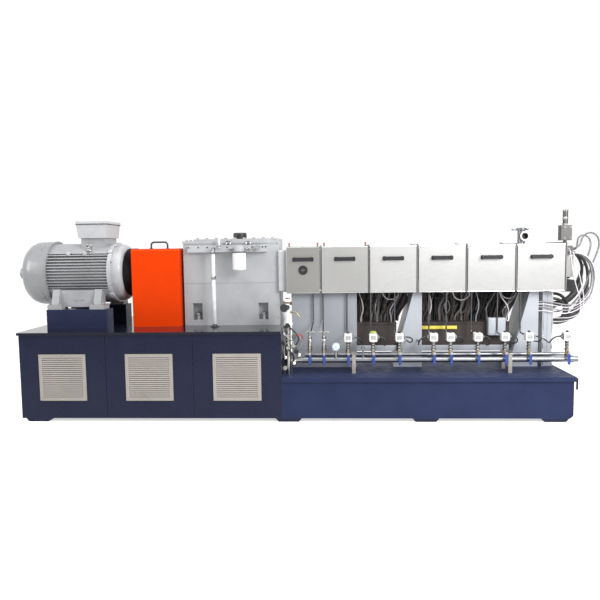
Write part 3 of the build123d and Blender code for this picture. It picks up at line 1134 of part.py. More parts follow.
HEATER_CABLE_ROUTES = (
    ((2262.1, -46, 1252), (2314, -46, 1252), (2364, -74, 1227), (2402, -88, 1183), (2423, -96, 1125),
     (2428, -104, 1059), (2418, -119, 990), (2394, -136, 922), (2357, -141, 860), (2306, -133, 812),
     (2245, -142, 781), (2183, -149, 769), (2123, -151, 772), (2066, -152, 786), (2026, -149, 792),
     (1996, -143, 793), (1970.05, -143, 793)),
    ((2262.1, -32, 1252), (2312, -32, 1252), (2359, -58, 1229), (2395, -74, 1186), (2417, -82, 1132),
     (2423, -90, 1070), (2416, -104, 1003), (2396, -120, 938), (2361, -128, 879), (2313, -127, 834),
     (2255, -138, 805), (2195, -148, 793), (2138, -152, 796), (2085, -152, 809), (2026, -149, 823),
     (1996, -143, 824), (1970.05, -143, 824)),
    ((2262.1, -18, 1252), (2309, -18, 1252), (2354, -42, 1230), (2388, -60, 1190), (2410, -68, 1139),
     (2419, -76, 1080), (2414, -88, 1017), (2398, -104, 955), (2364, -118, 899), (2318, -119, 856),
     (2264, -132, 828), (2207, -146, 817), (2153, -152, 820), (2102, -152, 833), (2058, -152, 840),
     (2026, -149, 846), (1996, -143, 847), (1970.05, -143, 847)),
    ((2262.1, -4, 1252), (2307, -4, 1252), (2350, -26, 1231), (2382, -46, 1193), (2406, -54, 1145),
     (2415, -59, 1089), (2413, -69, 1029), (2399, -82, 968), (2367, -99, 915), (2323, -103, 874),
     (2271, -120, 848), (2217, -143, 837), (2166, -152, 840), (2117, -152, 852), (2075, -152, 859),
     (2026, -149, 865), (1996, -143, 866), (1970.05, -143, 866)),
)
SIGNAL_ROUTES = (
    ((2215, -60, 1290), (2215, -96, 1290), (2212, -130, 1275), (2208, -160, 1238), (2207, -182, 1182),
     (2211, -196, 1120), (2221, -204, 1056), (2236, -208, 994), (2255, -210, 934), (2272, -208, 876),
     (2280, -204, 820), (2270, -196, 770), (2240, -184, 734), (2196, -166, 714), (2152, -142, 704),
     (2118, -122, 700), (2090, -122, 700)),
    ((2240, -60, 1262), (2240, -98, 1262), (2243, -132, 1244), (2248, -158, 1204), (2256, -176, 1150),
     (2266, -186, 1090), (2278, -192, 1028), (2292, -194, 966), (2304, -192, 906), (2306, -188, 848),
     (2292, -182, 796), (2262, -175, 758), (2218, -162, 738), (2172, -144, 732), (2126, -124, 732),
     (2090, -124, 732)),
)
cord_report = []


def cords(name, routes, diameter):
    """One node of like cords, none of them touching another."""
    with BuildPart() as piece:
        for route in routes:
            cord_report.append((name, diameter) + cord(route, diameter))
    save(piece, name)


cords("sensor_conduits", SENSOR_CONDUIT_ROUTES, CONDUIT)
cords("power_cables", POWER_ROUTES, POWER)
cords("heater_cables", HEATER_CABLE_ROUTES, HEATER_CABLE)
cords("signal_cables", SIGNAL_ROUTES, SIGNAL)

# Conduit from each solenoid valve's gland: a droop to the right, then back into the trough or a pedestal.
# The last one turns left, into the duct.
VALVE_CONDUITS = (
    (440, -100, 0), (634, -100, 14), (835, -150, -8), (1097, -150, 10), (1227, -100, -4),
    (1434, -100, 16), (1639, -100, 4), (1821, -150, -10), (2107, -136, 0),
)


def valve_conduit_route(x, end_y, droop, side):
    """Points of one valve's conduit, from its gland to the face that it enters."""
    return (
        (x + side * 46, -380, 621), (x + side * 74, -380, 621), (x + side * 100, -368, 604 - droop / 2),
        (x + side * 108, -340, 578 - droop), (x + side * 102, -302, 560 - droop), (x + side * 94, -262, 553 - droop),
        (x + side * 90, (end_y - 262) / 2 - 18, 556 - droop / 2), (x + side * 88, end_y - 34, 562),
        (x + side * 88, end_y, 562),
    )


valve_conduit_routes = [valve_conduit_route(*place, side) for place, side in zip(VALVE_CONDUITS, GLAND_SIDES)]
cords("valve_conduits", valve_conduit_routes, VALVE_CONDUIT)

# Heater leads: from under each heater down to the trough, and loops from heater to heater
HEATER_BOTTOM = 1045
HEATER_LEADS = (
    (524, 556, 34), (720, 690, -30), (890, 806, -34), (1095, 1110, 30), (1290, 1262, -36),
    (1480, 1496, 28), (1664, 1744, 34), (1850, 1722, -40),
)
HEATER_LOOPS = (
    (546, 692, 56), (738, 872, 70), (1122, 1262, 62), (1312, 1452, 76), (1508, 1645, 58), (1698, 1830, 72),
)


def heater_lead_route(start, end, lean):
    """Points of one lead hanging from a heater to the top of the trough."""
    return (
        (start, -52, HEATER_BOTTOM), (start, -52, 1000), (start + lean / 2, -60, 950),
        (start + lean, -72, 897), ((start + end) / 2 + lean, -82, 842), (end + lean / 2, -78, 790),
        (end, -64, 744), (end, -64, 702),
    )


def heater_loop_route(left, right, drop):
    """Points of one loop slung under two heaters: two legs and five corners round half a circle."""
    middle = (left + right) / 2
    half = (right - left) / 2
    corner = math.radians(36)
    reach = half / math.cos(corner / 2)
    centre_z = HEATER_BOTTOM - drop - half * math.tan(corner / 2)
    bend = [
        (middle - reach * math.cos(corner * (step + 0.5)), -44, centre_z - reach * math.sin(corner * (step + 0.5)))
        for step in range(5)
    ]
    knee = HEATER_BOTTOM - drop / 2
    return [(left, -34, HEATER_BOTTOM), (left, -34, knee), *bend, (right, -34, knee), (right, -34, HEATER_BOTTOM)]


cords("heater_leads", [heater_lead_route(*place) for place in HEATER_LEADS]
      + [heater_loop_route(*place) for place in HEATER_LOOPS], HEATER_LEAD)

for name, diameter, smallest, length in cord_report:
    print(f"{name}: diameter {diameter:.0f}, smallest radius {smallest:.0f} "
          f"({smallest / diameter:.1f} diameters), length {length:.0f}")
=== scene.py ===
"""Plastic extruder: paint and metal finishes, cords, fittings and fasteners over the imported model."""
import math

import bmesh
import bpy
import numpy as np
from bpy.props import FloatProperty, FloatVectorProperty, IntProperty, PointerProperty
from mathutils import Matrix, Vector


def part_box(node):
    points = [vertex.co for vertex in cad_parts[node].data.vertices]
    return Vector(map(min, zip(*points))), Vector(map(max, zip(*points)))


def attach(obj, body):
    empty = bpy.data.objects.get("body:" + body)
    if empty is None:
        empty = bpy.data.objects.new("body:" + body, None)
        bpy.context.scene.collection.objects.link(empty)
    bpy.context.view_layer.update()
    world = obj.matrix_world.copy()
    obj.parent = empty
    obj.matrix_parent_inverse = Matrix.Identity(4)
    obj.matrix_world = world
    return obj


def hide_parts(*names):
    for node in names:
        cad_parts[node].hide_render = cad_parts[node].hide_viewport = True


bl_info = {
    "name": "Plastic extruder",
    "version": (1, 0, 0),
    "blender": (4, 5, 0),
    "location": "View3D > Sidebar > Extruder",
    "description": "Finishes, cords and fittings of a twin-screw plastic extruder",
    "category": "Object",
}

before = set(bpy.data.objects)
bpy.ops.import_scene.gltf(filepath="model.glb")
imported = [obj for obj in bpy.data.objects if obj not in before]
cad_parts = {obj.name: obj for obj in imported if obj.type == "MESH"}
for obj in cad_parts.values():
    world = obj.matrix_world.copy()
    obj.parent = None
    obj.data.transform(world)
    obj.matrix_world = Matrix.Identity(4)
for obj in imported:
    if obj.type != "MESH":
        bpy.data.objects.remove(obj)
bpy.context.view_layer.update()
MACHINE = "machine"
COVER_COUNT = 6

# Places shared by several pieces, in metres
AXIS_Z = 1.136
PLATE_Z = 0.696
STATION_XS = (0.440, 0.634, 0.835, 1.097, 1.227, 1.434, 1.639, 1.821, 2.107)
MANUAL_XS = (0.142, 0.252)
GLAND_SIDES = (1, 1, 1, -1, 1, 1, 1, 1, -1)
SUPPLY_Y, SUPPLY_Z, SUPPLY_RADIUS = -0.380, 0.444, 0.021
COVER_FRONT = -0.220
# Points round the quarter circle of a slab's corner
CORNER_POINTS = 5
# Steps of a cord's drawn line and of the line that its length is measured on
CORD_STEPS, LENGTH_STEPS = 6, 8
# Brightness of floor and surroundings: as light, and as the camera and reflections see them
FLOOR_GLOW, WORLD_GLOW = (0.10, 0.58), (0.37, 1.0)
FLOOR_RADIUS = 14.0


# Settings that a user would change

class PaintSettings(bpy.types.PropertyGroup):
    """Colours of the painted and moulded pieces."""
    base: FloatVectorProperty(name="Base", description="Paint of the welded base", subtype="COLOR", size=3,
                              min=0, max=1, default=(0.010, 0.013, 0.036))
    # The bed's colour is the base's navy made lighter: painted light, as more light falls on the bed
    bed: FloatVectorProperty(name="Bed", description="Paint of the low bed", subtype="COLOR", size=3, min=0, max=1,
                             default=(0.021, 0.029, 0.072))
    plate: FloatVectorProperty(name="Top plate", description="Paint of the plate under the drive", subtype="COLOR",
                               size=3, min=0, max=1, default=(0.014, 0.016, 0.034))
    machine: FloatVectorProperty(name="Drive", description="Paint of motor and gearbox", subtype="COLOR", size=3,
                                 min=0, max=1, default=(0.43, 0.44, 0.455))
    support: FloatVectorProperty(name="Supports", description="Paint of the barrel supports", subtype="COLOR",
                                 size=3, min=0, max=1, default=(0.42, 0.44, 0.48))
    guard: FloatVectorProperty(name="Guard", description="Paint of the coupling guard", subtype="COLOR", size=3,
                               min=0, max=1, default=(0.72, 0.046, 0.001))
    vent: FloatVectorProperty(name="Vents", description="Paint of the slotted vent panels", subtype="COLOR",
                              size=3, min=0, max=1, default=(0.33, 0.305, 0.28))
    lever: FloatVectorProperty(name="Levers", description="Sleeves of the valve levers", subtype="COLOR", size=3,
                               min=0, max=1, default=(0.016, 0.050, 0.24))


class CordSettings(bpy.types.PropertyGroup):
    """Diameters of the cords."""
    conduit: FloatProperty(name="Conduit", description="Diameter of the sensor conduits", unit="LENGTH",
                           min=0.004, default=0.013)
    power: FloatProperty(name="Power cable", description="Diameter of the black cables", unit="LENGTH",
                         min=0.004, default=0.024)
    heater: FloatProperty(name="Heater cable", description="Diameter of the pale cables", unit="LENGTH",
                          min=0.004, default=0.010)
    signal: FloatProperty(name="Signal cable", description="Diameter of the thin cables", unit="LENGTH",
                          min=0.004, default=0.008)
    valve: FloatProperty(name="Valve conduit", description="Diameter of the valve conduits", unit="LENGTH",
                         min=0.004, default=0.011)
    lead: FloatProperty(name="Heater lead", description="Diameter of the leads under the barrel", unit="LENGTH",
                        min=0.004, default=0.010)


class FastenerSettings(bpy.types.PropertyGroup):
    """Sizes and counts of the repeated fasteners."""
    small: FloatProperty(name="Small screw", description="Head radius of the cover and panel screws",
                         unit="LENGTH", min=0.001, default=0.0055)
    large: FloatProperty(name="Large bolt", description="Head radius of the drive's bolts", unit="LENGTH",
                         min=0.002, default=0.011)
    rim: IntProperty(name="Rim bolts", description="Bolts round the motor's end shield", min=3, default=8)


class StudioSettings(bpy.types.PropertyGroup):
    """Camera and lamps."""
    lens: FloatProperty(name="Lens", description="Focal length on a 36 mm square sensor, in millimetres",
                        min=10, default=34.87)
    yaw: FloatProperty(name="Turn", description="Camera's turn to the left", subtype="ANGLE",
                       default=math.radians(2.93))
    pitch: FloatProperty(name="Tilt", description="Camera's tilt downwards", subtype="ANGLE",
                         default=math.radians(4.81))
    roll: FloatProperty(name="Roll", description="Camera's roll", subtype="ANGLE", default=math.radians(-0.77))
    place: FloatVectorProperty(name="Place", description="Camera's place", subtype="TRANSLATION", size=3,
                               default=(0.299, -4.874, 1.295))
    key: FloatProperty(name="Key", description="Power of the large lamp at the right", subtype="POWER", min=0,
                       default=235)
    fill: FloatProperty(name="Fill", description="Power of the overhead lamp", subtype="POWER", min=0, default=150)


# Shapes: each is a pair of arrays, points (n, 3) and quads (m, 4)

def grid(points, close_rows=False, close_columns=False):
    """Quads over a grid of points u by v: corner (i, j) joins (i+1, j), (i+1, j+1) and (i, j+1)."""
    rows, columns = points.shape[:2]
    i = np.arange(rows if close_rows else rows - 1)[:, None]
    j = np.arange(columns if close_columns else columns - 1)[None, :]
    i1, j1 = (i + 1) % rows, (j + 1) % columns
    quads = np.stack([i * columns + j, i1 * columns + j, i1 * columns + j1, i * columns + j1], axis=-1)
    return points.reshape(-1, 3), quads.reshape(-1, 4)


def joined(*shapes):
    """Several shapes as one: the quads of each are moved on by the points before it."""
    starts = np.cumsum([0] + [len(points) for points, _ in shapes[:-1]])
    return (np.concatenate([points for points, _ in shapes]),
            np.concatenate([quads + start for (_, quads), start in zip(shapes, starts)]))


def at(shape, *places):
    """A copy of the shape at each place: p + place."""
    points, quads = shape
    places = np.array(places, float).reshape(-1, 1, 3)
    steps = np.arange(len(places))[:, None, None] * len(points)
    return (points[None] + places).reshape(-1, 3), (quads[None] + steps).reshape(-1, 4)


def aimed(shape, direction):
    """The shape with its Z axis turned to a direction: rotation by the shortest arc."""
    turn = np.array(Vector((0, 0, 1)).rotation_difference(Vector(direction)).to_matrix())
    return shape[0] @ turn.T, shape[1]


def turned(profile, sides=28):
    """Profile of (radius, height) pairs about Z: x = r cos a, y = r sin a, z = h, closed to the axis at both ends."""
    profile = np.array([(0.0, profile[0][1]), *profile, (0.0, profile[-1][1])])
    angle = np.linspace(0, 2 * math.pi, sides, endpoint=False)[None, :]
    radius, height = profile[:, 0:1], profile[:, 1:2]
    points = np.stack([radius * np.cos(angle), radius * np.sin(angle), height + 0 * angle], axis=-1)
    return grid(points, close_columns=True)


def ring(radius, thickness, rounds=32, sides=12):
    """Torus about Z: x = (R + r cos b) cos a, y = (R + r cos b) sin a, z = r sin b."""
    a = np.linspace(0, 2 * math.pi, rounds, endpoint=False)[:, None]
    b = np.linspace(0, 2 * math.pi, sides, endpoint=False)[None, :]
    reach = radius + thickness * np.cos(b)
    points = np.stack([reach * np.cos(a), reach * np.sin(a), thickness * np.sin(b) + 0 * a], axis=-1)
    return grid(points, close_rows=True, close_columns=True)


def outline(width, depth, corner):
    """Rounded rectangle: four quarter circles of the corner radius about the four inner corners."""
    corner = min(corner, width / 2, depth / 2)
    angle = np.concatenate([np.linspace(q, q + 1, CORNER_POINTS) for q in range(4)]) * math.pi / 2
    quarter = np.repeat(np.array([(1, 1), (-1, 1), (-1, -1), (1, -1)], float), CORNER_POINTS, axis=0)
    centre = quarter * np.array([width / 2 - corner, depth / 2 - corner])
    return centre + corner * np.stack([np.cos(angle), np.sin(angle)], axis=-1)


def slab(width, depth, height, corner=0.004, edge=0.002):
    """Rounded rectangle raised along Z from 0 to height, its rim drawn in over a quarter circle at both ends."""
    turn = np.linspace(0, math.pi / 2, 4)
    inset = np.concatenate([edge * (1 - np.sin(turn)), edge * (1 - np.cos(turn))])
    level = np.concatenate([edge * (1 - np.cos(turn)), height - edge * (1 - np.sin(turn))])
    flat = outline(width, depth, corner)
    reach = np.array([width, depth]) / 2
    drawn = flat[None] * (1 - inset[:, None, None] / reach)
    points = np.concatenate([drawn, np.broadcast_to(level[:, None, None], (len(level), len(flat), 1))], axis=-1)
    foot, head = (np.broadcast_to([0.0, 0.0, z], (1, len(flat), 3)) for z in (0.0, height))
    return grid(np.concatenate([foot, points, head]), close_columns=True)


def block(low, high, corner=0.003, edge=0.0015):
    """Rounded box between two corners, raised along Z."""
    low, high = np.array(low, float), np.array(high, float)
    width, depth, height = high - low
    return at(slab(width, depth, height, corner, edge), ((low[0] + high[0]) / 2, (low[1] + high[1]) / 2, low[2]))


def tube(path, radius, sides=12):
    """Circle carried along a path: p(s) + r(s) (cos b N + sin b B), N and B square to the path's own direction."""
    path = np.array(path, float)
    radius = np.broadcast_to(np.asarray(radius, float), (len(path),))
    along = np.gradient(path, axis=0)
    along /= np.linalg.norm(along, axis=1, keepdims=True)
    flattest = int(np.argmin(np.ptp(path, axis=0)))
    across = np.cross(along, np.eye(3)[flattest])
    across /= np.linalg.norm(across, axis=1, keepdims=True)
    beside = np.cross(along, across)
    b = np.linspace(0, 2 * math.pi, sides, endpoint=False)[None, :, None]
    wall = path[:, None] + radius[:, None, None] * (np.cos(b) * across[:, None] + np.sin(b) * beside[:, None])
    first, last = (np.broadcast_to(path[end], (1, sides, 3)) for end in (0, -1))
    return grid(np.concatenate([first, wall, last]), close_columns=True)


def arc(centre, start, end, radius, steps=16):
    """Points of a circle's arc square to X: centre + radius (0, cos a, sin a), angles in degrees."""
    angle = np.radians(np.linspace(start, end, steps))
    return np.array(centre, float) + radius * np.stack([0 * angle, np.cos(angle), np.sin(angle)], axis=-1)


def hex_bolt(radius, height):
    """Hexagon head with a domed top on a round washer."""
    washer = turned([(1.45 * radius, 0), (1.45 * radius, 0.16 * radius)], 20)
    head = turned([(radius, 0.16 * radius), (radius, 0.85 * height), (0.86 * radius, height)], 6)
    return joined(washer, head)


def cap_screw(radius, height):
    """Round head with a sunk hexagon socket."""
    return turned([(0.92 * radius, 0), (radius, 0.12 * height), (radius, 0.85 * height), (0.9 * radius, height),
                   (0.52 * radius, height), (0.5 * radius, 0.45 * height)], 18)


def add_piece(name, shape, kind, body=MACHINE, sharp=38):
    """A welded mesh piece in a finish, with outward faces, soft below the sharp angle, riding on a body."""
    points, quads = shape
    mesh = bpy.data.meshes.new(name)
    mesh.from_pydata(points.tolist(), [], quads.tolist())
    work = bmesh.new()
    work.from_mesh(mesh)
    bmesh.ops.remove_doubles(work, verts=work.verts, dist=2e-6)
    bmesh.ops.recalc_face_normals(work, faces=work.faces)
    work.to_mesh(mesh)
    work.free()
    mesh.shade_smooth()
    mesh.set_sharp_from_angle(angle=math.radians(sharp))
    mesh.materials.append(finish(kind))
    piece = bpy.data.objects.new(name, mesh)
    bpy.context.scene.collection.objects.link(piece)
    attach(piece, body)
    return piece


# Finishes: roughness of every noise, and the lean of a rounded edge at which wear starts and is full

NOISE_ROUGHNESS = 0.55
LEAN_START, LEAN_FULL = 0.995, 0.88


def new_finish(name):
    """The material of that name, with its shader if it is new and None if it is made already."""
    material = bpy.data.materials.get(name)
    if material:
        return material, None
    material = bpy.data.materials.new(name)
    material.use_nodes = True
    return material, material.node_tree.nodes["Principled BSDF"]


def set_inputs(node, **values):
    """The node with values on its inputs, whose names are given with low lines in place of spaces."""
    for name, value in values.items():
        node.inputs[name.replace("_", " ")].default_value = value
    return node


def noise_at(tree, scale, detail=3.0, stretch=(1, 1, 1)):
    """Noise over object coordinates, stretched along the axes."""
    place = tree.nodes.new("ShaderNodeTexCoord")
    mapping = set_inputs(tree.nodes.new("ShaderNodeMapping"), Scale=stretch)
    noise = set_inputs(tree.nodes.new("ShaderNodeTexNoise"), Scale=scale, Detail=detail, Roughness=NOISE_ROUGHNESS)
    tree.links.new(place.outputs["Object"], mapping.inputs["Vector"])
    tree.links.new(mapping.outputs["Vector"], noise.inputs["Vector"])
    return noise.outputs["Fac"]


def ramp(tree, value, low, high, start=0.3, end=0.7):
    """Value from start to end turned into a colour from low to high."""
    node = tree.nodes.new("ShaderNodeValToRGB")
    node.color_ramp.elements[0].position = start
    node.color_ramp.elements[1].position = end
    node.color_ramp.elements[0].color = (*low, 1)
    node.color_ramp.elements[1].color = (*high, 1)
    tree.links.new(value, node.inputs["Fac"])
    return node.outputs["Color"]


def spread(tree, value, low, high):
    """Value from 0.3 to 0.7 spread from low to high."""
    node = set_inputs(tree.nodes.new("ShaderNodeMapRange"), From_Min=0.3, From_Max=0.7, To_Min=low, To_Max=high)
    tree.links.new(value, node.inputs["Value"])
    return node.outputs["Result"]


def bumps(tree, shader, value, strength, distance):
    """Bump of a height value on the shader's normal."""
    node = set_inputs(tree.nodes.new("ShaderNodeBump"), Strength=strength, Distance=distance)
    tree.links.new(value, node.inputs["Height"])
    tree.links.new(node.outputs["Normal"], shader.inputs["Normal"])


def shade(colour, amount):
    """A colour made lighter or darker by a factor."""
    return tuple(min(1.0, channel * amount) for channel in colour)


def worn_edges(tree, radius):
    """1 where a rounded edge would lean from the face, broken up by noise: rubbed corners."""
    rounded = set_inputs(tree.nodes.new("ShaderNodeBevel"), Radius=radius)
    rounded.samples = 3
    geometry = tree.nodes.new("ShaderNodeNewGeometry")
    lean = tree.nodes.new("ShaderNodeVectorMath")
    lean.operation = "DOT_PRODUCT"
    tree.links.new(rounded.outputs["Normal"], lean.inputs[0])
    tree.links.new(geometry.outputs["Normal"], lean.inputs[1])
    edge = set_inputs(tree.nodes.new("ShaderNodeMapRange"), From_Min=LEAN_START, From_Max=LEAN_FULL)
    tree.links.new(lean.outputs["Value"], edge.inputs["Value"])
    broken = tree.nodes.new("ShaderNodeMath")
    broken.operation = "MULTIPLY"
    tree.links.new(edge.outputs["Result"], broken.inputs[0])
    tree.links.new(spread(tree, noise_at(tree, 46.0, 5.0), 0.15, 0.85), broken.inputs[1])
    return broken.outputs["Value"]


def blended(tree, mask, base, top):
    """A colour over another where the mask is 1."""
    mix = tree.nodes.new("ShaderNodeMix")
    mix.data_type = "RGBA"
    tree.links.new(mask, mix.inputs["Factor"])
    tree.links.new(base, mix.inputs["A"])
    mix.inputs["B"].default_value = (*top, 1)
    return mix.outputs["Result"]


def paint(name, colour, roughness=0.34, peel=0.12, dust=0.10, coat=0.25, specular=0.5, rubbed=None):
    """Sprayed enamel: soft mottling, orange-peel bump, rubbed edges, and a coat whose gloss varies with handling."""
    material, shader = new_finish(name)
    if shader:
        tree = material.node_tree
        mottle = noise_at(tree, 5.0, 4.0)
        tone = ramp(tree, mottle, shade(colour, 1 - dust), shade(colour, 1 + dust))
        worn = blended(tree, worn_edges(tree, 0.003), tone, rubbed or shade(colour, 1.5))
        tree.links.new(worn, shader.inputs["Base Color"])
        tree.links.new(spread(tree, noise_at(tree, 14.0, 5.0), roughness * 0.8, roughness * 1.25),
                       shader.inputs["Roughness"])
        bumps(tree, shader, noise_at(tree, 420.0, 2.0), peel, 0.0006)
        set_inputs(shader, Specular_IOR_Level=specular, Coat_Weight=coat, Coat_Roughness=0.12)
    return material


def cast_paint(name, colour):
    """Enamel over a sand casting: a coarse grain under the paint."""
    material, shader = new_finish(name)
    if shader:
        tree = material.node_tree
        tone = ramp(tree, noise_at(tree, 7.0, 5.0), shade(colour, 0.9), shade(colour, 1.08))
        tree.links.new(blended(tree, worn_edges(tree, 0.004), tone, shade(colour, 1.35)), shader.inputs["Base Color"])
        tree.links.new(spread(tree, noise_at(tree, 22.0, 4.0), 0.30, 0.48), shader.inputs["Roughness"])
        bumps(tree, shader, noise_at(tree, 160.0, 5.0), 0.22, 0.0012)
        set_inputs(shader, Coat_Weight=0.2, Coat_Roughness=0.18)
    return material


def metal(name, colour, roughness, stretch=(1, 1, 1), scale=60.0, streak=0.12, depth=0.0004, tint=0.10,
          anisotropic=0.0):
    """Bare metal: grain lines from stretched noise in colour, roughness and bump."""
    material, shader = new_finish(name)
    if shader:
        tree = material.node_tree
        grain = noise_at(tree, scale, 3.0, stretch)
        cloud = noise_at(tree, 3.2, 3.0)
        tree.links.new(ramp(tree, cloud, shade(colour, 1 - tint), shade(colour, 1 + tint * 0.6)),
                       shader.inputs["Base Color"])
        tree.links.new(spread(tree, grain, roughness * (1 - streak * 2), roughness * (1 + streak * 2)),
                       shader.inputs["Roughness"])
        bumps(tree, shader, grain, streak, depth)
        set_inputs(shader, Metallic=1.0, Anisotropic=anisotropic)
    return material


def moulded(name, colour, roughness=0.45, grain=300.0, depth=0.0003, specular=0.5):
    """Moulded plastic or rubber: fine grain bump and small changes of gloss."""
    material, shader = new_finish(name)
    if shader:
        tree = material.node_tree
        tree.links.new(ramp(tree, noise_at(tree, 18.0, 3.0), shade(colour, 0.86), shade(colour, 1.14)),
                       shader.inputs["Base Color"])
        tree.links.new(spread(tree, noise_at(tree, 40.0, 3.0), roughness * 0.85, roughness * 1.15),
                       shader.inputs["Roughness"])
        bumps(tree, shader, noise_at(tree, grain, 2.0), 0.3, depth)
        set_inputs(shader, Specular_IOR_Level=specular)
    return material


def wound_conduit(name, colour, pitch, metallic):
    """Wound metal or ribbed plastic conduit: rings square to the cord from its own length coordinate."""
    material, shader = new_finish(name)
    if shader:
        tree = material.node_tree
        place = tree.nodes.new("ShaderNodeUVMap")
        wave = tree.nodes.new("ShaderNodeTexWave")
        wave.wave_type = "BANDS"
        wave.bands_direction = "X"
        set_inputs(wave, Scale=pitch)
        tree.links.new(place.outputs["UV"], wave.inputs["Vector"])
        tree.links.new(ramp(tree, wave.outputs["Fac"], shade(colour, 0.55), shade(colour, 1.15), 0.1, 0.8),
                       shader.inputs["Base Color"])
        bumps(tree, shader, wave.outputs["Fac"], 0.6, 0.0012)
        set_inputs(shader, Metallic=metallic, Roughness=0.36)
    return material


